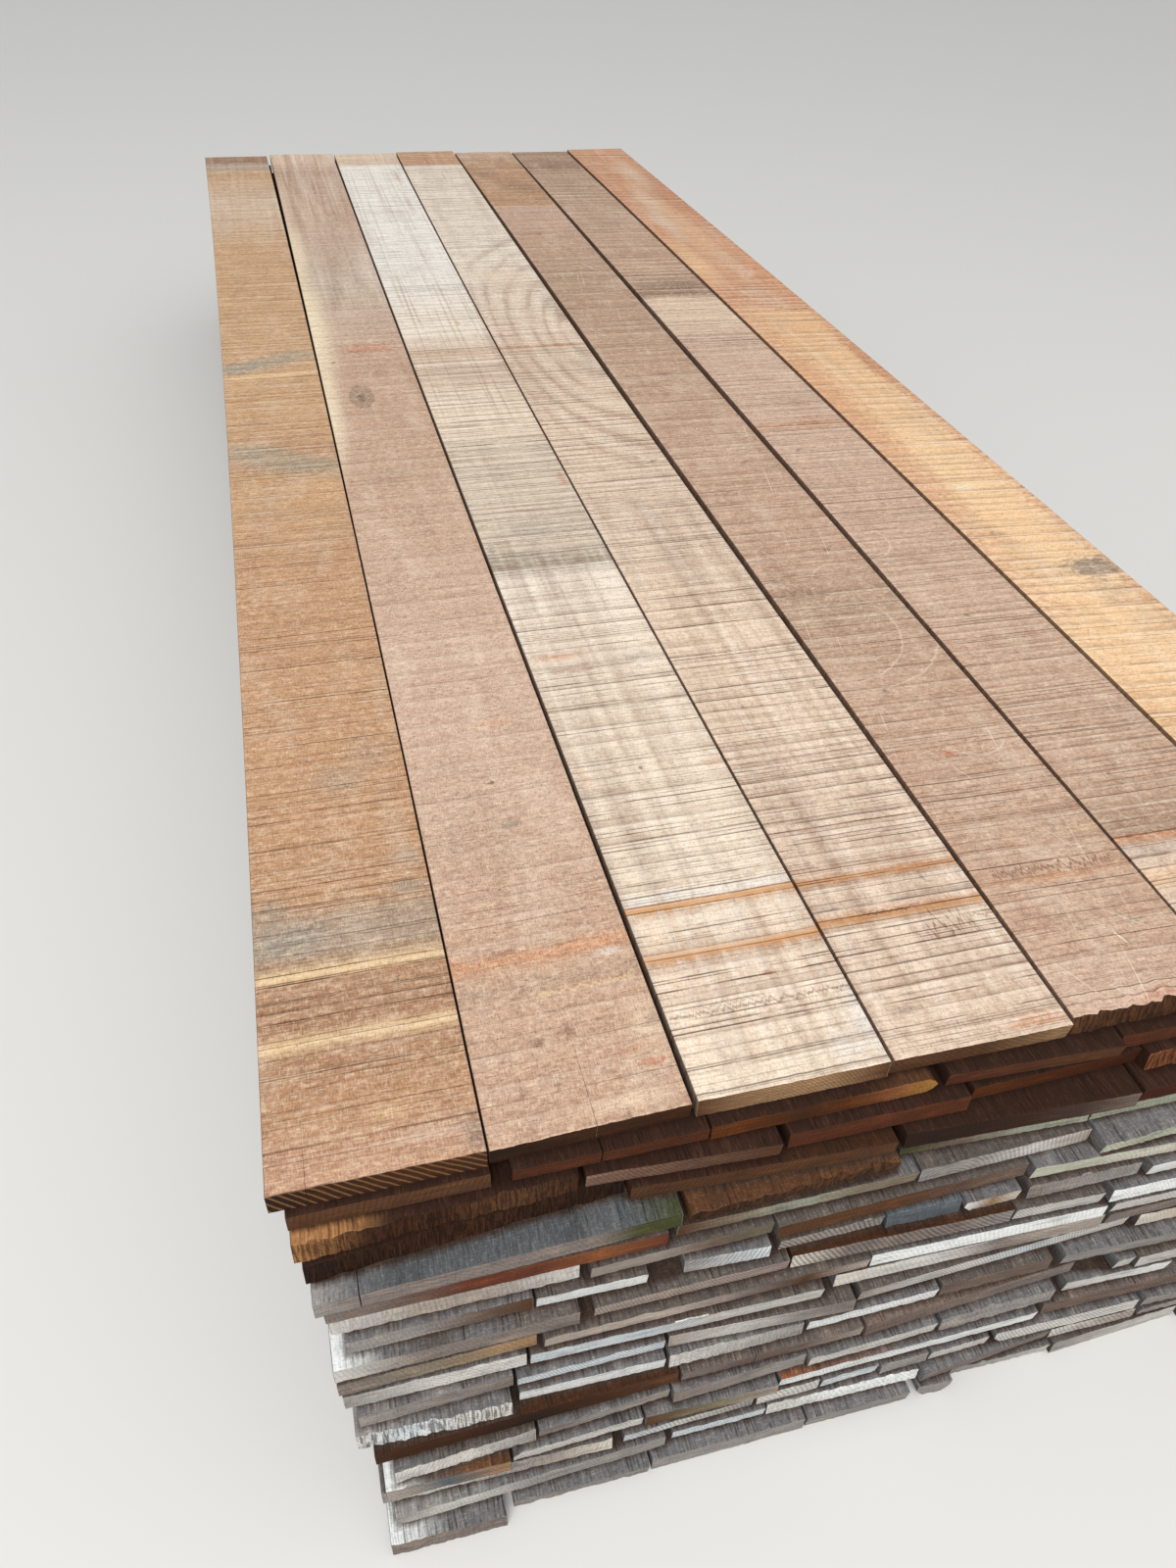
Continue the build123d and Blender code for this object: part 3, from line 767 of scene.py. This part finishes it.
# %% What each top board shows
# All places are in mm: mm from the near end, and left from the board's left side.
# tones: where along the board, and which one.
# teeth: from, to, pitch and share of the washboard. slope: how far the saw's path slants.
# lines: pitch, width, how dark, how many. streaks: from, to, width, share.
# fine: how much the fibres show, the raised ones in the colour pale. blotch: how much broad
# patches show. drift: mm that a tone bleeds over its edge. scratched: how much scratches show.
# spots: left, mm, half width, half length, tone, share, turn in degrees, how crisp.
# trails: from, to, mm, swing, thickness, tone, share.
# scrapes: left, mm and radius of an arc, and the turn of its middle in degrees.
# arches: left, mm, half width, half length, how many, share.
# What a board doesn't say is as usual.
USUAL = dict(slope=0.0, fine=0.95, pale="#ffe6c6", scratched=0.0, trails=[], scrapes=[], arches=[])
TOP_BOARDS = [
    dict(tones=[(0, "rosy"), (40, "rosy"), (75, "tan brown"), (160, "brown"), (165, "dark"),
                (168, "cream line"), (176, "cream line"), (181, "dark"), (186, "brown"),
                (255, "brown"), (264, "cream line"), (278, "cream line"), (283, "dark"),
                (290, "grey band"), (340, "grey band"), (372, "tan brown"), (600, "clay"),
                (1150, "clay"), (1450, "orange tan"), (1600, "tan brown"), (1750, "orange tan"),
                (2900, "orange tan"), (3400, "sand"), (3770, "orange tan"), (3782, "cream line"),
                (3796, "grey band"), (3860, "grey pink"), (3885, "umber"), (3905, "dark"),
                (4010, "brown")],
         teeth=[(0, 1200, 19, 0.18), (1200, 4100, 30, 0.3)], streaks=[(3000, 4100, 14, 0.35)],
         lines=[(17, 1.7, 0.9, 0.75), (7, 1.4, 0.65, 0.7)], fine=0.9, blotch=0.3, drift=0.8,
         spots=[(40, 318, 60, 30, "blue grey", 0.6), (20, 368, 30, 22, "blue grey", 0.45),
                (185, 376, 34, 14, "blue grey", 0.5), (190, 428, 22, 24, "soft grey", 0.45),
                (120, 590, 46, 34, "grey band", 0.6), (165, 640, 40, 50, "grey band", 0.4),
                (50, 1610, 90, 55, "green grey", 0.8, -20), (140, 1545, 130, 55, "green grey", 0.8, -14),
                (60, 960, 70, 60, "tan brown", 0.5), (105, 2000, 230, 16, "honey", 0.9, 5),
                (50, 2056, 110, 44, "blue grey", 0.85, 12), (150, 2104, 90, 46, "green grey", 0.8, 14),
                (205, 25, 20, 26, "soot", 0.55), (155, 236, 6, 6, "knot", 0.7),
                (160, 35, 45, 12, "pink", 0.7), (120, 70, 22, 10, "cream line", 0.4),
                (185, 865, 22, 6, "dark", 0.8), (150, 868, 16, 4, "dark", 0.7)],
         scrapes=[(757, 1936, 700, 110)]),
    dict(tones=[(0, "pink brown"), (180, "pink brown"), (190, "umber"), (215, "pink brown"),
                (236, "flame"), (241, "pink brown"), (700, "pink"), (1500, "pink brown"),
                (1980, "pink brown"), (1996, "umber"), (2008, "pink brown"), (2600, "grey pink"),
                (3300, "pink"), (3760, "umber"), (3830, "pink"), (3900, "rose sand"), (4010, "rose sand")],
         teeth=[(0, 4100, 37, 0.2)],
         streaks=[(0, 2400, 9, 0.15), (2400, 3200, 11, 0.5), (3200, 4100, 12, 1.0),
                  (2500, 4100, 40, 0.6)],
         lines=[(15, 1.6, 0.35, 0.5), (6, 1.3, 0.35, 0.4)], fine=1.0, blotch=0.4, drift=4,
         spots=[(0, 2300, 58, 560, "sapwood", 1.0), (0, 1790, 36, 300, "sapwood", 0.9),
                (4, 2900, 44, 330, "sapwood", 0.8), (8, 3400, 22, 400, "warm cream", 0.45),
                (130, 2137, 76, 34, "rust spot", 0.75), (90, 2120, 24, 12, "rust spot", 0.6),
                (79, 1856, 29, 66, "knot", 0.6, 0, 5), (79, 1856, 26, 60, "halo", 0.9, 0, 4),
                (79, 1850, 11, 25, "knot", 0.95, 0, 2),
                (118, 1490, 30, 14, "soft grey", 0.6), (36, 2060, 8, 6, "knot", 0.7),
                (76, 116, 10, 8, "dark", 0.75), (110, 120, 10, 9, "dark", 0.75),
                (195, 62, 24, 7, "rust spot", 0.75), (180, 82, 34, 4, "red edge", 0.5),
                (205, 115, 12, 12, "dark", 0.6), (45, 60, 7, 7, "dark", 0.6),
                (84, 60, 5, 5, "knot", 0.6), (110, 542, 6, 6, "knot", 0.8),
                (79, 346, 3.5, 3.5, "knot", 0.9), (118, 455, 16, 12, "soot", 0.45),
                (185, 220, 20, 8, "chalk", 0.5), (130, 672, 50, 9, "flame", 0.5),
                (60, 245, 30, 9, "dark", 0.4), (150, 20, 60, 12, "warm cream", 0.6),
                (195, 110, 20, 50, "warm cream", 0.5), (145, 1, 7, 10, "dark", 0.7)],
         trails=[(90, 205, 178, 3, 2.6, "cream line", 0.7)]),
    dict(tones=[(0, "cream"), (184, "warm cream"), (187, "rust line"),
                (190, "band gold"), (197, "band gold"), (200, "rust line"), (203, "warm cream"),
                (262, "cream"), (267, "band gold"), (275, "orange band"), (278, "umber"),
                (283, "ivory"), (292, "cream"), (700, "cream"), (1050, "pale cream"),
                (1080, "green grey"), (1150, "plaid grey"), (1560, "plaid grey"), (1640, "cream"),
                (1830, "cream"), (1890, "sand"), (2066, "sand"), (2070, "orange band"),
                (2079, "orange band"), (2083, "sand"), (2200, "pale cream"), (2700, "ivory"),
                (3820, "ivory"), (3835, "warm cream"), (4010, "warm cream")],
         teeth=[(0, 1150, 42, 0.35), (1150, 2100, 23, 0.6), (2100, 4100, 24, 0.2)],
         streaks=[(0, 1150, 13, 0.95), (0, 1150, 30, 0.5), (1150, 2100, 10, 0.35), (1700, 2600, 6, 0.5),
                  (2300, 4100, 5, 0.4), (2500, 4100, 12, 0.2)],
         lines=[(9, 1.6, 0.8, 0.65), (19, 2.1, 0.85, 0.7), (5, 1.2, 0.5, 0.5)], fine=0.75,
         pale="#fff5e4", blotch=0.15, drift=0.8,
         spots=[(50, 806, 60, 10, "flame", 0.6), (60, 770, 60, 14, "umber", 0.6),
                (180, 788, 34, 20, "soft grey", 0.5),
                (60, 1110, 90, 20, "green grey", 0.5), (12, 1150, 12, 16, "soot", 0.7),
                (110, 1205, 100, 40, "soft grey", 0.5), (205, 1390, 10, 40, "orange band", 0.6),
                (185, 3650, 10, 110, "orange band", 0.5), (178, 3350, 9, 140, "umber", 0.4),
                (150, 2265, 7, 22, "orange band", 0.5), (130, 3250, 60, 5, "umber", 0.5, 6),
                (60, 2850, 60, 14, "soft grey", 0.4),
                (212, 60, 16, 60, "chalk", 0.6), (62, 290, 16, 7, "chalk", 0.7),
                (133, 146, 12, 5, "rust spot", 0.6), (14, 520, 12, 30, "flame", 0.3),
                (205, 518, 16, 14, "flame", 0.3), (98, 525, 4, 4, "knot", 0.7),
                (180, 30, 30, 26, "chalk", 0.4), (140, 0, 30, 6, "dark", 0.5)],
         trails=[(-9, 240, 194, 1, 9, "band gold", 0.75), (-9, 240, 271, 1, 8, "band gold", 0.7),
                 (4, 222, 110, 5, 2.8, "dark", 0.6), (30, 120, 118, 5, 2.0, "dark", 0.5)]),
    dict(tones=[(0, "rose sand"), (188, "rose sand"), (194, "rust line"), (205, "flame"),
                (214, "rose sand"), (258, "rose sand"), (262, "rust line"), (272, "flame"),
                (290, "rose sand"), (900, "warm cream"), (1250, "sand"), (1700, "warm cream"),
                (2075, "sand"), (2083, "orange band"), (2092, "rose sand"), (2700, "pale cream"),
                (3300, "pale cream"), (3310, "sand"), (3322, "pale cream"),
                (3800, "pale cream"), (3830, "umber"), (3850, "flame"), (4010, "orange tan")],
         teeth=[(0, 1150, 31, 0.4), (1150, 2100, 21, 0.55), (2100, 4100, 26, 0.35)],
         streaks=[(0, 1300, 30, 0.8), (0, 1200, 10, 0.5), (1300, 4100, 26, 0.4)],
         lines=[(9, 1.6, 0.8, 0.85), (18, 2.0, 0.85, 1.0), (5, 1.2, 0.45, 0.5)], fine=0.8,
         pale="#fff2dc", blotch=0.18, drift=1.2,
         spots=[(200, 2350, 26, 120, "soft grey", 0.5), (205, 2290, 14, 70, "umber", 0.7),
                (190, 1980, 20, 120, "soft grey", 0.4), (130, 2560, 90, 160, "warm cream", 0.5),
                (30, 1900, 30, 400, "umber", 0.3), (180, 1435, 24, 4, "knot", 0.55, 24),
                (40, 60, 20, 8, "soot", 0.5), (95, 3850, 3, 80, "dark", 0.5),
                (125, 3660, 3, 70, "dark", 0.45),
                (180, 16, 50, 12, "flame", 0.7), (50, 200, 60, 8, "rust line", 0.5),
                (160, 250, 3, 9, "knot", 0.7), (215, 246, 2.5, 14, "splinter", 0.9, -25)],
         trails=[(-9, 240, 200, 2, 9, "band gold", 0.6), (-9, 240, 268, 1.5, 8, "band gold", 0.5),
                 (60, 130, 205, 3, 2.4, "dark", 0.7), (126, 186, 172, 22, 6, "dark", 0.8),
                 (186, 226, 176, 5, 2.6, "dark", 0.6)],
         arches=[(215, 2150, 225, 790, 6, 0.5)],
         scrapes=[(230, 2560, 190, 196), (260, 2600, 235, 200)]),
    dict(tones=[(0, "pink"), (120, "pink brown"), (205, "pink brown"), (212, "orange band"),
                (222, "pink brown"), (282, "pink brown"), (288, "umber"), (300, "pink brown"),
                (600, "pink brown"), (900, "umber"), (1000, "pink brown"), (1400, "pink brown"),
                (2600, "umber"), (2950, "pink brown"), (3270, "pink"), (3290, "tan brown"),
                (3800, "tan brown"), (4010, "pink")],
         teeth=[(0, 4100, 45, 0.25)], streaks=[(0, 4100, 12, 0.15)],
         lines=[(11, 1.7, 0.75, 0.8), (6, 1.4, 0.5, 0.6)], slope=-0.02, blotch=0.4, drift=6,
         scratched=0.5,
         spots=[(90, 464, 13, 11, "rust spot", 0.75), (50, 905, 60, 30, "dark", 0.5),
                (40, 900, 40, 4, "knot", 0.5), (40, 960, 50, 50, "dark", 0.3),
                (160, 1040, 10, 5, "knot", 0.8, 20), (105, 787, 10, 5, "knot", 0.6),
                (118, 1870, 22, 22, "dark", 0.5), (150, 3500, 70, 130, "dark", 0.5, 30),
                (60, 3700, 60, 90, "dark", 0.4, 30), (60, 2970, 70, 14, "dark", 0.4),
                (110, 212, 90, 9, "orange band", 0.5), (120, 850, 30, 6, "green grey", 0.6, 20),
                (70, 622, 4, 4, "knot", 0.85), (165, 597, 6, 3, "knot", 0.8),
                (130, 546, 3, 3, "knot", 0.8), (120, 8, 60, 14, "rust spot", 0.45),
                (150, 130, 3, 26, "splinter", 0.95, 48), (124, 103, 2.5, 15, "splinter", 0.95, 18),
                (156, 126, 3, 26, "knot", 0.7, 48), (128, 101, 2, 14, "knot", 0.6, 18),
                (190, 286, 40, 6, "cream line", 0.5), (130, 1390, 26, 6, "knot", 0.6, 40)],
         trails=[(25, 196, 232, 9, 4.0, "dark", 0.85)],
         scrapes=[(142, 506, 53, 270), (20, 800, 150, 330), (60, 800, 170, 320), (150, 930, 60, 100)]),
    dict(tones=[(0, "pink"), (165, "sand"), (180, "gold"), (200, "rose sand"), (235, "grey pink"),
                (240, "orange band"), (256, "flame"), (260, "dark"), (290, "umber"),
                (380, "pink brown"), (1540, "pink"), (1556, "flame"), (1572, "pink"),
                (2100, "pink"), (2160, "sand"), (2385, "rose sand"), (2400, "dark"), (2540, "umber"),
                (2640, "pink brown"), (3700, "umber"), (3780, "dark"), (3900, "umber"),
                (4010, "dark")],
         teeth=[(0, 2300, 24, 0.35), (2300, 4100, 34, 0.4)], streaks=[(0, 4100, 12, 0.15)],
         lines=[(10, 1.8, 0.75, 0.85), (23, 2.0, 0.8, 1.0)], slope=-0.04, blotch=0.35, drift=4,
         scratched=0.25,
         spots=[(90, 3850, 70, 60, "dark", 0.5), (150, 2480, 90, 70, "dark", 0.5, 20),
                (60, 2340, 80, 40, "warm cream", 0.5, 20), (120, 1565, 80, 9, "rust spot", 0.7),
                (150, 1590, 50, 12, "rust spot", 0.4),
                (50, 1440, 14, 5, "knot", 0.8, 40), (82, 790, 5, 9, "knot", 0.8, 25),
                (200, 1040, 10, 14, "rust spot", 0.4),
                (74, 376, 4, 9, "knot", 0.8, 15), (190, 480, 20, 30, "grey pink", 0.5)],
         scrapes=[(0, 1056, 62, 340)]),
    dict(tones=[(0, "peach"), (165, "peach"), (180, "orange band"), (258, "gold"),
                (270, "orange band"), (285, "gold"), (600, "honey"), (1300, "honey"),
                (2225, "gold"), (2300, "flame"), (2900, "flame"), (3700, "flame"), (4010, "flame")],
         teeth=[(0, 4100, 30, 0.45)], streaks=[(0, 4100, 34, 0.25), (0, 4100, 11, 0.2)],
         lines=[(9, 1.5, 0.6, 0.6), (22, 1.8, 0.65, 0.7)], slope=-0.07, fine=0.8, blotch=0.5, drift=6,
         scratched=0.2,
         spots=[(20, 1600, 54, 1000, "flame", 0.6), (225, 2000, 40, 1900, "flame", 0.7),
                (120, 1250, 44, 420, "honey", 0.75), (140, 900, 46, 400, "honey", 0.5),
                (95, 1210, 30, 18, "sapwood", 0.8), (130, 2120, 50, 120, "gold", 0.7),
                (120, 2950, 56, 500, "peach", 0.7), (100, 3300, 40, 260, "sand", 0.5),
                (178, 885, 85, 42, "soot", 0.8), (150, 810, 60, 40, "grey band", 0.35),
                (175, 2238, 60, 7, "ink", 0.6), (130, 2250, 14, 5, "ink", 0.6),
                (150, 2400, 6, 5, "knot", 0.6), (228, 2900, 14, 900, "red edge", 0.8),
                (10, 3500, 30, 400, "red edge", 0.4), (226, 700, 8, 900, "red edge", 0.6),
                (205, 1850, 26, 240, "red edge", 0.5), (18, 250, 12, 14, "ink", 0.5),
                (200, 3350, 60, 420, "red edge", 0.6), (70, 3050, 34, 260, "sand", 0.7),
                (150, 3640, 50, 260, "sand", 0.6), (30, 2650, 50, 260, "honey", 0.6)]),
]
print(sum(len(look["spots"]) for look in TOP_BOARDS), "stains and knots on the top boards")

# %% [markdown]
# ## The recipes for the top boards
# A band saw never cuts quite evenly. Its blade sways as it goes, which leaves a washboard
# of shallow bands, and a thin dark line here and there where it caught. Both are made from
# one number, the place along the saw's path, so that they bend together. Stains, knots,
# trails and arcs are ovals and lines at their own places, and noise makes them uneven.

# %% Washboard and streaks, each along its own stretch
SOFT = 60       # mm to each side over which a stretch begins and ends


def stretch(tree, along, start, stop, share):
    """A mask along one stretch of a board, which fades out over a hand's width."""
    begun = add(tree, "MapRange", {0: along, 1: (start - SOFT) * MM, 2: (start + SOFT) * MM})
    ended = add(tree, "MapRange", {0: along, 1: (stop + SOFT) * MM, 2: (stop - SOFT) * MM, 4: share})
    return add(tree, "Math", {0: begun, 1: ended}, operation="MULTIPLY")


def washboard(tree, under, wood, path, along, start, stop, pitch, share):
    """The ripple of a band saw, painted as shade that deepens across each tooth's band to a line and as a
    highlight where the next starts.
    """
    sway = add(tree, "TexNoise", {"W": path, "Scale": 300 / pitch, "Detail": 1.0}, noise_dimensions="1D")
    sway = add(tree, "Math", {0: sway, 1: 1.8}, operation="MULTIPLY")
    turns = add(tree, "Math", {0: path, 1: 1000 / pitch, 2: sway}, operation="MULTIPLY_ADD")
    tooth = add(tree, "Math", {0: turns}, operation="FRACT")
    patches = grains(tree, wood, (120, 1.6 * pitch, 99), 0.3, 0.6)
    here = add(tree, "Math", {0: stretch(tree, along, start, stop, share), 1: patches},
               operation="MULTIPLY")
    # Painted shade that deepens across each tooth's band, and a painted highlight where the next band
    # starts.
    dark = add(tree, "MapRange", {0: tooth, 1: 0.45, 2: 0.02})
    pale = add(tree, "MapRange", {0: tooth, 1: 0.6, 2: 0.95})
    face = paint(tree, under, "#84614a", 0.95, dark, where=here)
    face = paint(tree, face, "#fff1de", 0.6, pale, where=here)
    return face, add(tree, "Math", {0: tooth, 1: here}, operation="MULTIPLY")


def streaks(tree, under, wood, along, start, stop, width, share):
    """Darker and paler streaks along the grain: soft where wide, hard where narrow."""
    low, high = (0.42, 0.78) if width > 8 else (0.56, 0.66)
    here = stretch(tree, along, start, stop, share)
    dark = grains(tree, wood, (width, 620, 99), low, high, detail=1.5, rough=0.4)
    pale = grains(tree, wood, (width * 0.8, 480, 88), low + 0.06, high, detail=1.5, rough=0.4)
    face = paint(tree, under, "#8c6a55", 0.6, dark, where=here)
    return paint(tree, face, "#fff0de", 0.5, pale, where=here)


# %% Stains, knots, trails of sap and scrapes at their own places
def oval_at(tree, wood, shift, left, mm, wide, long, turn=0.0):
    """The place in an oval, and how far out that is: 0 at its middle and 1 at its rim."""
    oval = add(tree, "Mapping", {"Vector": wood, "Location": (left * MM + shift, mm * MM, 0),
                                 "Rotation": (0, 0, math.radians(turn)),
                                 "Scale": (wide * MM, long * MM, 1000)}, vector_type="TEXTURE")
    return oval, add(tree, "VectorMath", {0: oval}, "Value", operation="LENGTH")


def apart(tree, one, other):
    """How far two measures lie apart."""
    gap = add(tree, "Math", {0: one, 1: other}, operation="SUBTRACT")
    return add(tree, "Math", {0: gap}, operation="ABSOLUTE")


def stain(tree, under, wood, warp, shift, left, mm, wide, long, tone, share, turn=0.0, crisp=1):
    """An uneven oval of another tone, the evener the crisper it is."""
    _, reach = oval_at(tree, wood, shift, left, mm, wide, long, turn)
    rim = add(tree, "Math", {0: warp, 1: 1 / crisp, 2: reach}, operation="MULTIPLY_ADD")
    return paint(tree, under, FRESH_TONES[tone], share, add(
        tree, "MapRange", {0: rim, 1: 1 + 0.5 / crisp, 2: 1 - 0.2 / crisp}))


def trail(tree, under, across, along, start, stop, mm, swing, thick, tone, share):
    """A thin line that wanders across the board, where sap or dirt dried."""
    wander = add(tree, "TexNoise", {"W": across, "Scale": 110.0, "Detail": 3.0, "Roughness": 0.7},
                 noise_dimensions="1D")
    centre = add(tree, "MapRange", {0: wander, 1: 0.3, 2: 0.7, 3: (mm - swing) * MM,
                                    4: (mm + swing) * MM})
    gap = apart(tree, along, centre)
    line = add(tree, "MapRange", {0: gap, 1: thick * MM, 2: 0.3 * thick * MM})
    from_middle = apart(tree, across, (start + stop) / 2 * MM)
    inside = add(tree, "Math", {0: from_middle, 1: (stop - start) / 2 * MM}, operation="LESS_THAN")
    return paint(tree, under, FRESH_TONES[tone], share, line, where=inside)


def scrape(tree, under, wood, warp, shift, left, mm, radius, turn):
    """A pale arc, where something hard was dragged round over the board."""
    disc, reach = oval_at(tree, wood, shift, left, mm, radius, radius, turn)
    reach = add(tree, "Math", {0: warp, 1: 0.04, 2: reach}, operation="MULTIPLY_ADD")
    line = add(tree, "MapRange", {0: apart(tree, reach, 1.02), 1: 2.2 / radius, 2: 0.4 / radius})
    front = add(tree, "MapRange", {0: add(tree, "SeparateXYZ", {0: disc}, 0), 1: 0.3, 2: 0.8})
    return paint(tree, under, "#fdebd4", 0.3, line, where=front)


def arches(tree, under, wood, shift, left, mm, wide, long, count, share):
    """Nested arches, where the saw cut the growth rings at a low angle."""
    _, reach = oval_at(tree, wood, shift, left, mm, wide, long)
    bent = add(tree, "Math", {0: grains(tree, wood, (150, 700, 90), 0.3, 0.7, 0.12, 1), 1: reach})
    wave = add(tree, "Math", {0: bent, 1: 2 * math.pi * count}, operation="MULTIPLY")
    wave = add(tree, "Math", {0: wave}, operation="SINE")
    here = add(tree, "MapRange", {0: reach, 1: 1.15, 2: 0.9, 4: share})
    here = add(tree, "Math", {0: here, 1: grains(tree, wood, (60, 150, 60), 0.3, 0.55)},
               operation="MULTIPLY")
    dark = add(tree, "MapRange", {0: wave, 1: 0.3, 2: 0.95})
    pale = add(tree, "MapRange", {0: wave, 1: -0.3, 2: -0.95})
    face = paint(tree, under, "#8a664e", 0.8, dark, where=here)
    return paint(tree, face, "#fff0dc", 0.7, pale, where=here)


# %% Wood of one top board
TONES_END = 4010        # mm, where the last tone stands, at the far end of the longest board


def top_wood(name, look, shift):
    """Fresh rough-sawn hardwood, as one top board shows it."""
    material, tree, shader = new_material(name)
    wood = add(tree, "Attribute", None, "Vector", attribute_name="wood")
    across = add(tree, "Math", {0: add(tree, "SeparateXYZ", {0: wood}, 0), 1: shift},
                 operation="SUBTRACT")
    along = add(tree, "SeparateXYZ", {0: wood}, 1)

    # The saw ran nearly square across. Colours follow its lines and bleed a little.
    path = add(tree, "Math", {0: across, 1: -look["slope"], 2: along}, operation="MULTIPLY_ADD")
    path = add(tree, "Math", {0: path, 1: grains(tree, wood, (170, 120, 90), 0.3, 0.7, 0.002, 1)})
    drift = look["drift"] * MM
    edge = add(tree, "Math", {0: path, 1: grains(tree, wood, (45, 40, 45), 0.3, 0.7, 2 * drift)})
    edge = add(tree, "Math", {0: edge, 1: grains(tree, wood, (120, 3, 50), 0.3, 0.7, drift)})
    edge = add(tree, "Math", {0: edge, 1: 1.5 * drift + 0.001}, operation="SUBTRACT")
    ramp = add(tree, "ValToRGB", {0: add(tree, "MapRange", {0: edge, 1: 0.0, 2: TONES_END * MM})})
    stops = ramp.node.color_ramp.elements
    while len(stops) < len(look["tones"]):
        stops.new(1.0)
    for stop, (mm, tone) in zip(stops, look["tones"]):
        stop.position = mm / TONES_END
        stop.color = colour(FRESH_TONES[tone])

    # Broad patches, then streaks, then what is at a place of its own.
    patchy = look["blotch"]
    face = paint(tree, ramp, "#8a6650", patchy, grains(tree, wood, (70, 190, 99), 0.52, 0.8))
    face = paint(tree, face, "#f6e2cb", patchy, grains(tree, wood, (60, 150, 88), 0.52, 0.8))
    for streak in look["streaks"]:
        face = streaks(tree, face, wood, along, *streak)
    warp = grains(tree, wood, (13, 8, 13), 0.28, 0.72, 0.9, 4, 0.65)
    for arch in look["arches"]:
        face = arches(tree, face, wood, shift, *arch)
    for spot in look["spots"]:
        face = stain(tree, face, wood, warp, shift, *spot)

    # Fibres that the saw raised, and open pores. A real pore is under half a millimetre
    # wide; it is drawn three times as wide, so that it shows.
    fine, pale = look["fine"], look["pale"]
    face = paint(tree, face, "#7d5a44", 0.32 * fine, add(tree, "MapRange", {0: warp, 1: 0.4, 2: 0.1}))
    face = paint(tree, face, pale, 0.3 * fine, add(tree, "MapRange", {0: warp, 1: 0.5, 2: 0.8}))
    face = paint(tree, face, pale, 0.35 * fine, grains(tree, wood, (10, 1.6, 5), 0.5, 0.66, 1, 3, 0.6))
    face = paint(tree, face, "#65473a", 0.4 * fine, grains(tree, wood, (9, 1.7, 4), 0.5, 0.68, 1, 3, 0.6))
    face = paint(tree, face, pale, 0.35 * fine, grains(tree, wood, (1.7, 9, 3), 0.5, 0.68, 1, 4, 0.7))
    face = paint(tree, face, "#553a2a", 0.6 * fine, grains(tree, wood, (1.6, 7, 2), 0.51, 0.69, 1, 4, 0.7))

    for line in look["trails"]:
        face = trail(tree, face, across, path, *line)

    # The washboard with its painted shade and highlight, then thin dark lines that are partly torn fibres
    # and partly painted shadow in their grooves, then the scratches of later handling.
    relief = grains(tree, wood, (1.6, 7, 3), 0.25, 0.75, 0.6, 4, 0.7)
    for tooth in look["teeth"]:
        face, ripple = washboard(tree, face, wood, path, along, *tooth)
        relief = add(tree, "Math", {0: ripple, 1: 0.8, 2: relief}, operation="MULTIPLY_ADD")
    for pitch, thick, dark, many in look["lines"]:
        cut = saw_lines(tree, wood, path, pitch, thick, many)
        # Each line is partly torn fibres and partly painted shadow in its groove.
        face = paint(tree, face, "#4a2e1e", dark, cut)
        relief = add(tree, "Math", {0: cut, 1: -dark, 2: relief}, operation="MULTIPLY_ADD")
    for turn in (0.2, -0.42) if look["scratched"] else ():
        turned = add(tree, "Mapping", {"Vector": wood, "Rotation": (0, 0, turn)})
        face = paint(tree, face, "#fbeee0", look["scratched"],
                     grains(tree, turned, (1.6, 200, 9), 0.69, 0.76, detail=1.5))
    for arc in look["scrapes"]:
        face = scrape(tree, face, wood, warp, shift, *arc)
    # Painted shade darkens the sharp edges and the narrow sides, so that the gaps between the boards look
    # dark; dirt from hands darkens the edges a little too.
    rim = add(tree, "Attribute", None, "Fac", attribute_name="rim")
    face = paint(tree, face, "#452a1b", 0.75, add(tree, "MapRange", {0: rim, 1: 0.0009, 2: 0.0001}))
    end, end_height = end_grain_colour(tree, wood)
    finish_wood(tree, shader, face, relief, end, end_height, 0.8)
    return material


for number, (board, look) in enumerate(zip(tops, TOP_BOARDS), start=1):
    board.data.materials.clear()
    wood_name = f"fresh rough-sawn hardwood {number}"
    board.data.materials.append(top_wood(wood_name, dict(USUAL, **look), PATTERN_STEP * number))
print("seven finishes for the top boards")

# %% [markdown]
# ## Handing the pieces over
# Every piece rides on the stack's one body, and the CAD node that it stands for is hidden.
# No board may reach out of the CAD model's box.

# %% Attach the pieces to the body and hide the CAD parts
for number, board in enumerate(tops, start=1):
    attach(board, "root")
    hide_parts(f"top_board_{number}")
for layer, piece in layers.items():
    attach(piece, "root")
    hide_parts(f"layer_{layer:02d}")
